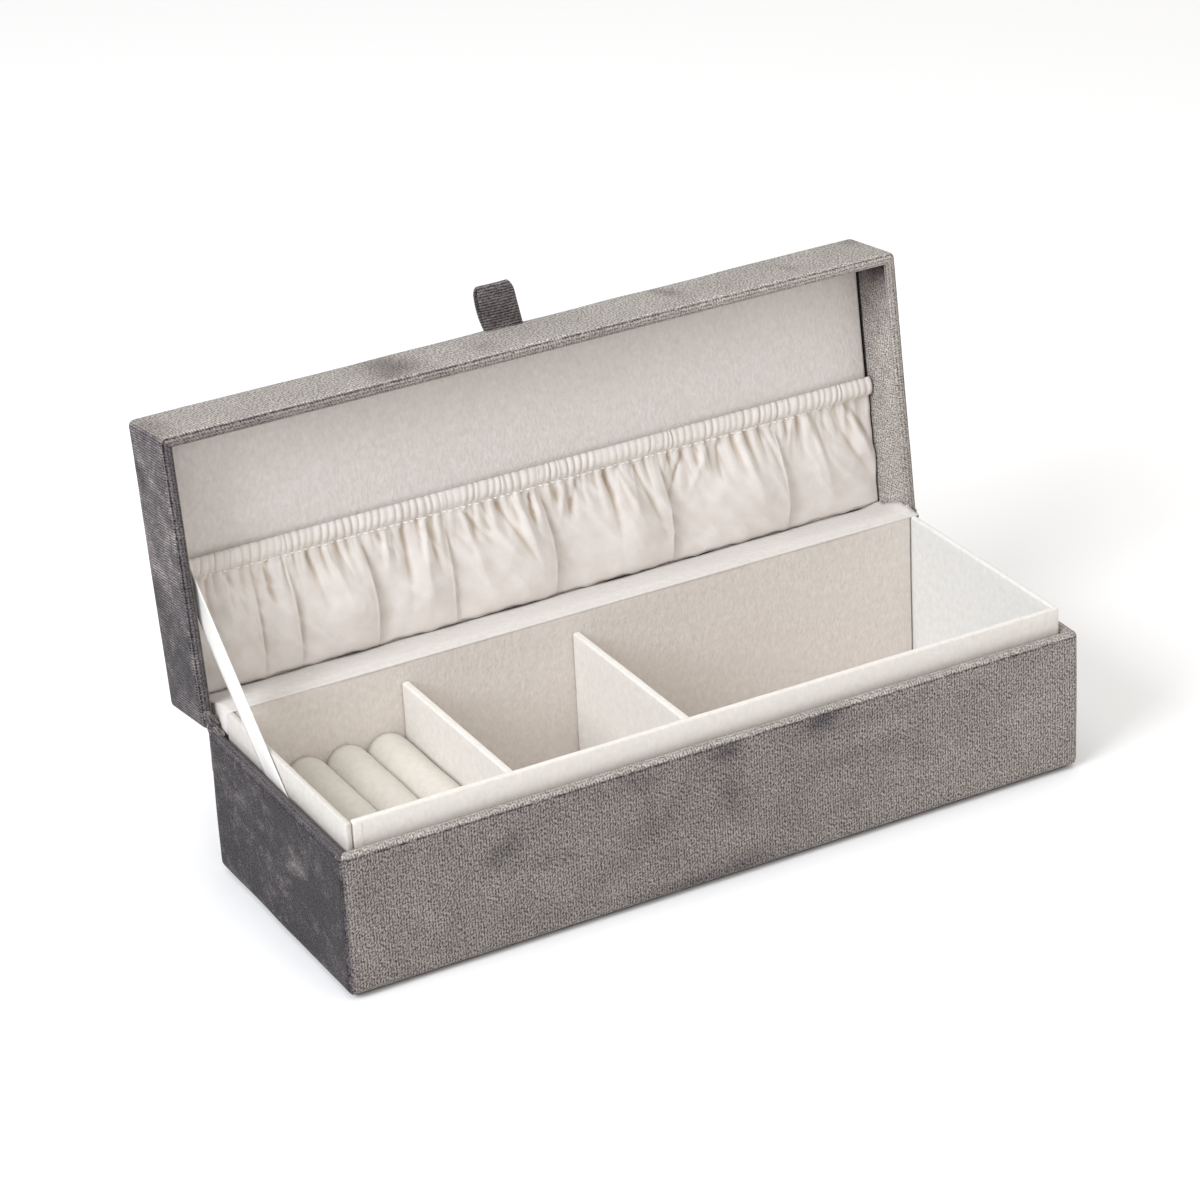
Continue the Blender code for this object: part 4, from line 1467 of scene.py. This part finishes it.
def make_stitches(line):
    """White running stitches along the channel's lower edge, as one mesh of short rods."""
    bm = bmesh.new()
    at = line[0, 0] + 0.6
    while at < line[-1, 0] - STITCH_LENGTH:
        xs = np.linspace(at, at + STITCH_LENGTH, 7)
        rings = []
        for i, (x, height) in enumerate(zip(xs, np.interp(xs, line[:, 0], line[:, 2]))):
            end = math.sin(math.pi * i / 6)
            size = STITCH_RADIUS * (0.45 + 0.55 * end**0.5)
            up, lift = STITCH_LINE + 0.2, height + 0.42 + 0.15 * end
            turns = np.linspace(0, math.tau, 8)[:-1]
            ring = [(x, up + size * math.cos(a), lift + size * math.sin(a)) for a in turns]
            rings.append([bm.verts.new(co) for co in on_panel(np.array(ring))])
        for first, second in zip(rings, rings[1:]):
            for a in range(7):
                b = (a + 1) % 7
                bm.faces.new([first[a], first[b], second[b], second[a]])
        bm.faces.new(rings[0][::-1])
        bm.faces.new(rings[-1])
        at += STITCH_PITCH
    bmesh.ops.recalc_face_normals(bm, faces=bm.faces)
    piece = bmesh_piece("pocket_stitches", bm, THREAD)
    return place(piece, "lid", slot="cream_pocket", in_lid=True)


# ---------------- stage


def make_camera():
    data = bpy.data.cameras.new("camera")
    data.lens = CAMERA_LENS
    data.sensor_width = 36.0
    data.clip_start = 0.01
    data.clip_end = 50.0
    camera = new_object("camera", data)
    turn = Matrix.Rotation(CAMERA_AZIMUTH, 4, "Z")
    turn @= Matrix.Rotation(math.pi / 2 - CAMERA_ELEVATION, 4, "X")
    turn @= Matrix.Rotation(CAMERA_ROLL, 4, "Z")
    back = Matrix.Translation((0, 0, CAMERA_DISTANCE))
    camera.matrix_world = Matrix.Translation(CAMERA_TARGET) @ turn @ back
    bpy.context.scene.camera = camera


def make_floor():
    g = Graph("floor", Roughness=0.9, Specular_IOR_Level=0.0)
    paper = g.mix(g.noise(g.place(), 6), (0.985, 0.985, 0.985, 1), (0.99, 0.99, 0.99, 1))
    corners = [(-12, -12, 0), (12, -12, 0), (12, 12, 0), (-12, 12, 0)]
    mesh = new_mesh("floor", corners, [(0, 1, 2, 3)])
    finish_mesh("floor", mesh, g.finish(paper), smooth=False)


def add_light(name, location, size, power, colour=(1, 1, 1)):
    data = bpy.data.lights.new(name, "AREA")
    data.shape = "RECTANGLE"
    data.size, data.size_y = size
    data.energy = power
    data.color = colour
    light = new_object(name, data)
    light.location = location
    light.rotation_mode = "QUATERNION"
    aim = Vector((0, 0, 0.05)) - light.location
    light.rotation_quaternion = aim.to_track_quat("-Z", "Y")


def make_lights():
    world = bpy.data.worlds.new("studio")
    world.use_nodes = True
    background = world.node_tree.nodes["Background"]
    background.inputs["Color"].default_value = (1.0, 0.978, 0.95, 1.0)
    background.inputs["Strength"].default_value = 0.56
    bpy.context.scene.world = world
    add_light("key", (-1.55, -0.42, 1.15), (1.0, 1.0), 27, (0.95, 0.99, 1.06))
    add_light("top", (0.1, 0.1, 1.8), (1.5, 1.5), 11.5)
    add_light("front", (-0.2, -1.9, 0.9), (1.5, 1.0), 5, (1.0, 0.96, 0.92))


bpy.context.scene.view_settings.view_transform = "Standard"
make_camera()
make_floor()
make_lights()
dress_cad_nodes()
make_base_velvet()
make_lid_velvet()
make_spine()
make_pull_tab()
make_liner()
make_ring_rolls()
make_hinge_strip()
make_hinge_tucks()
make_ribbon()
make_lid_panel()
make_pocket()
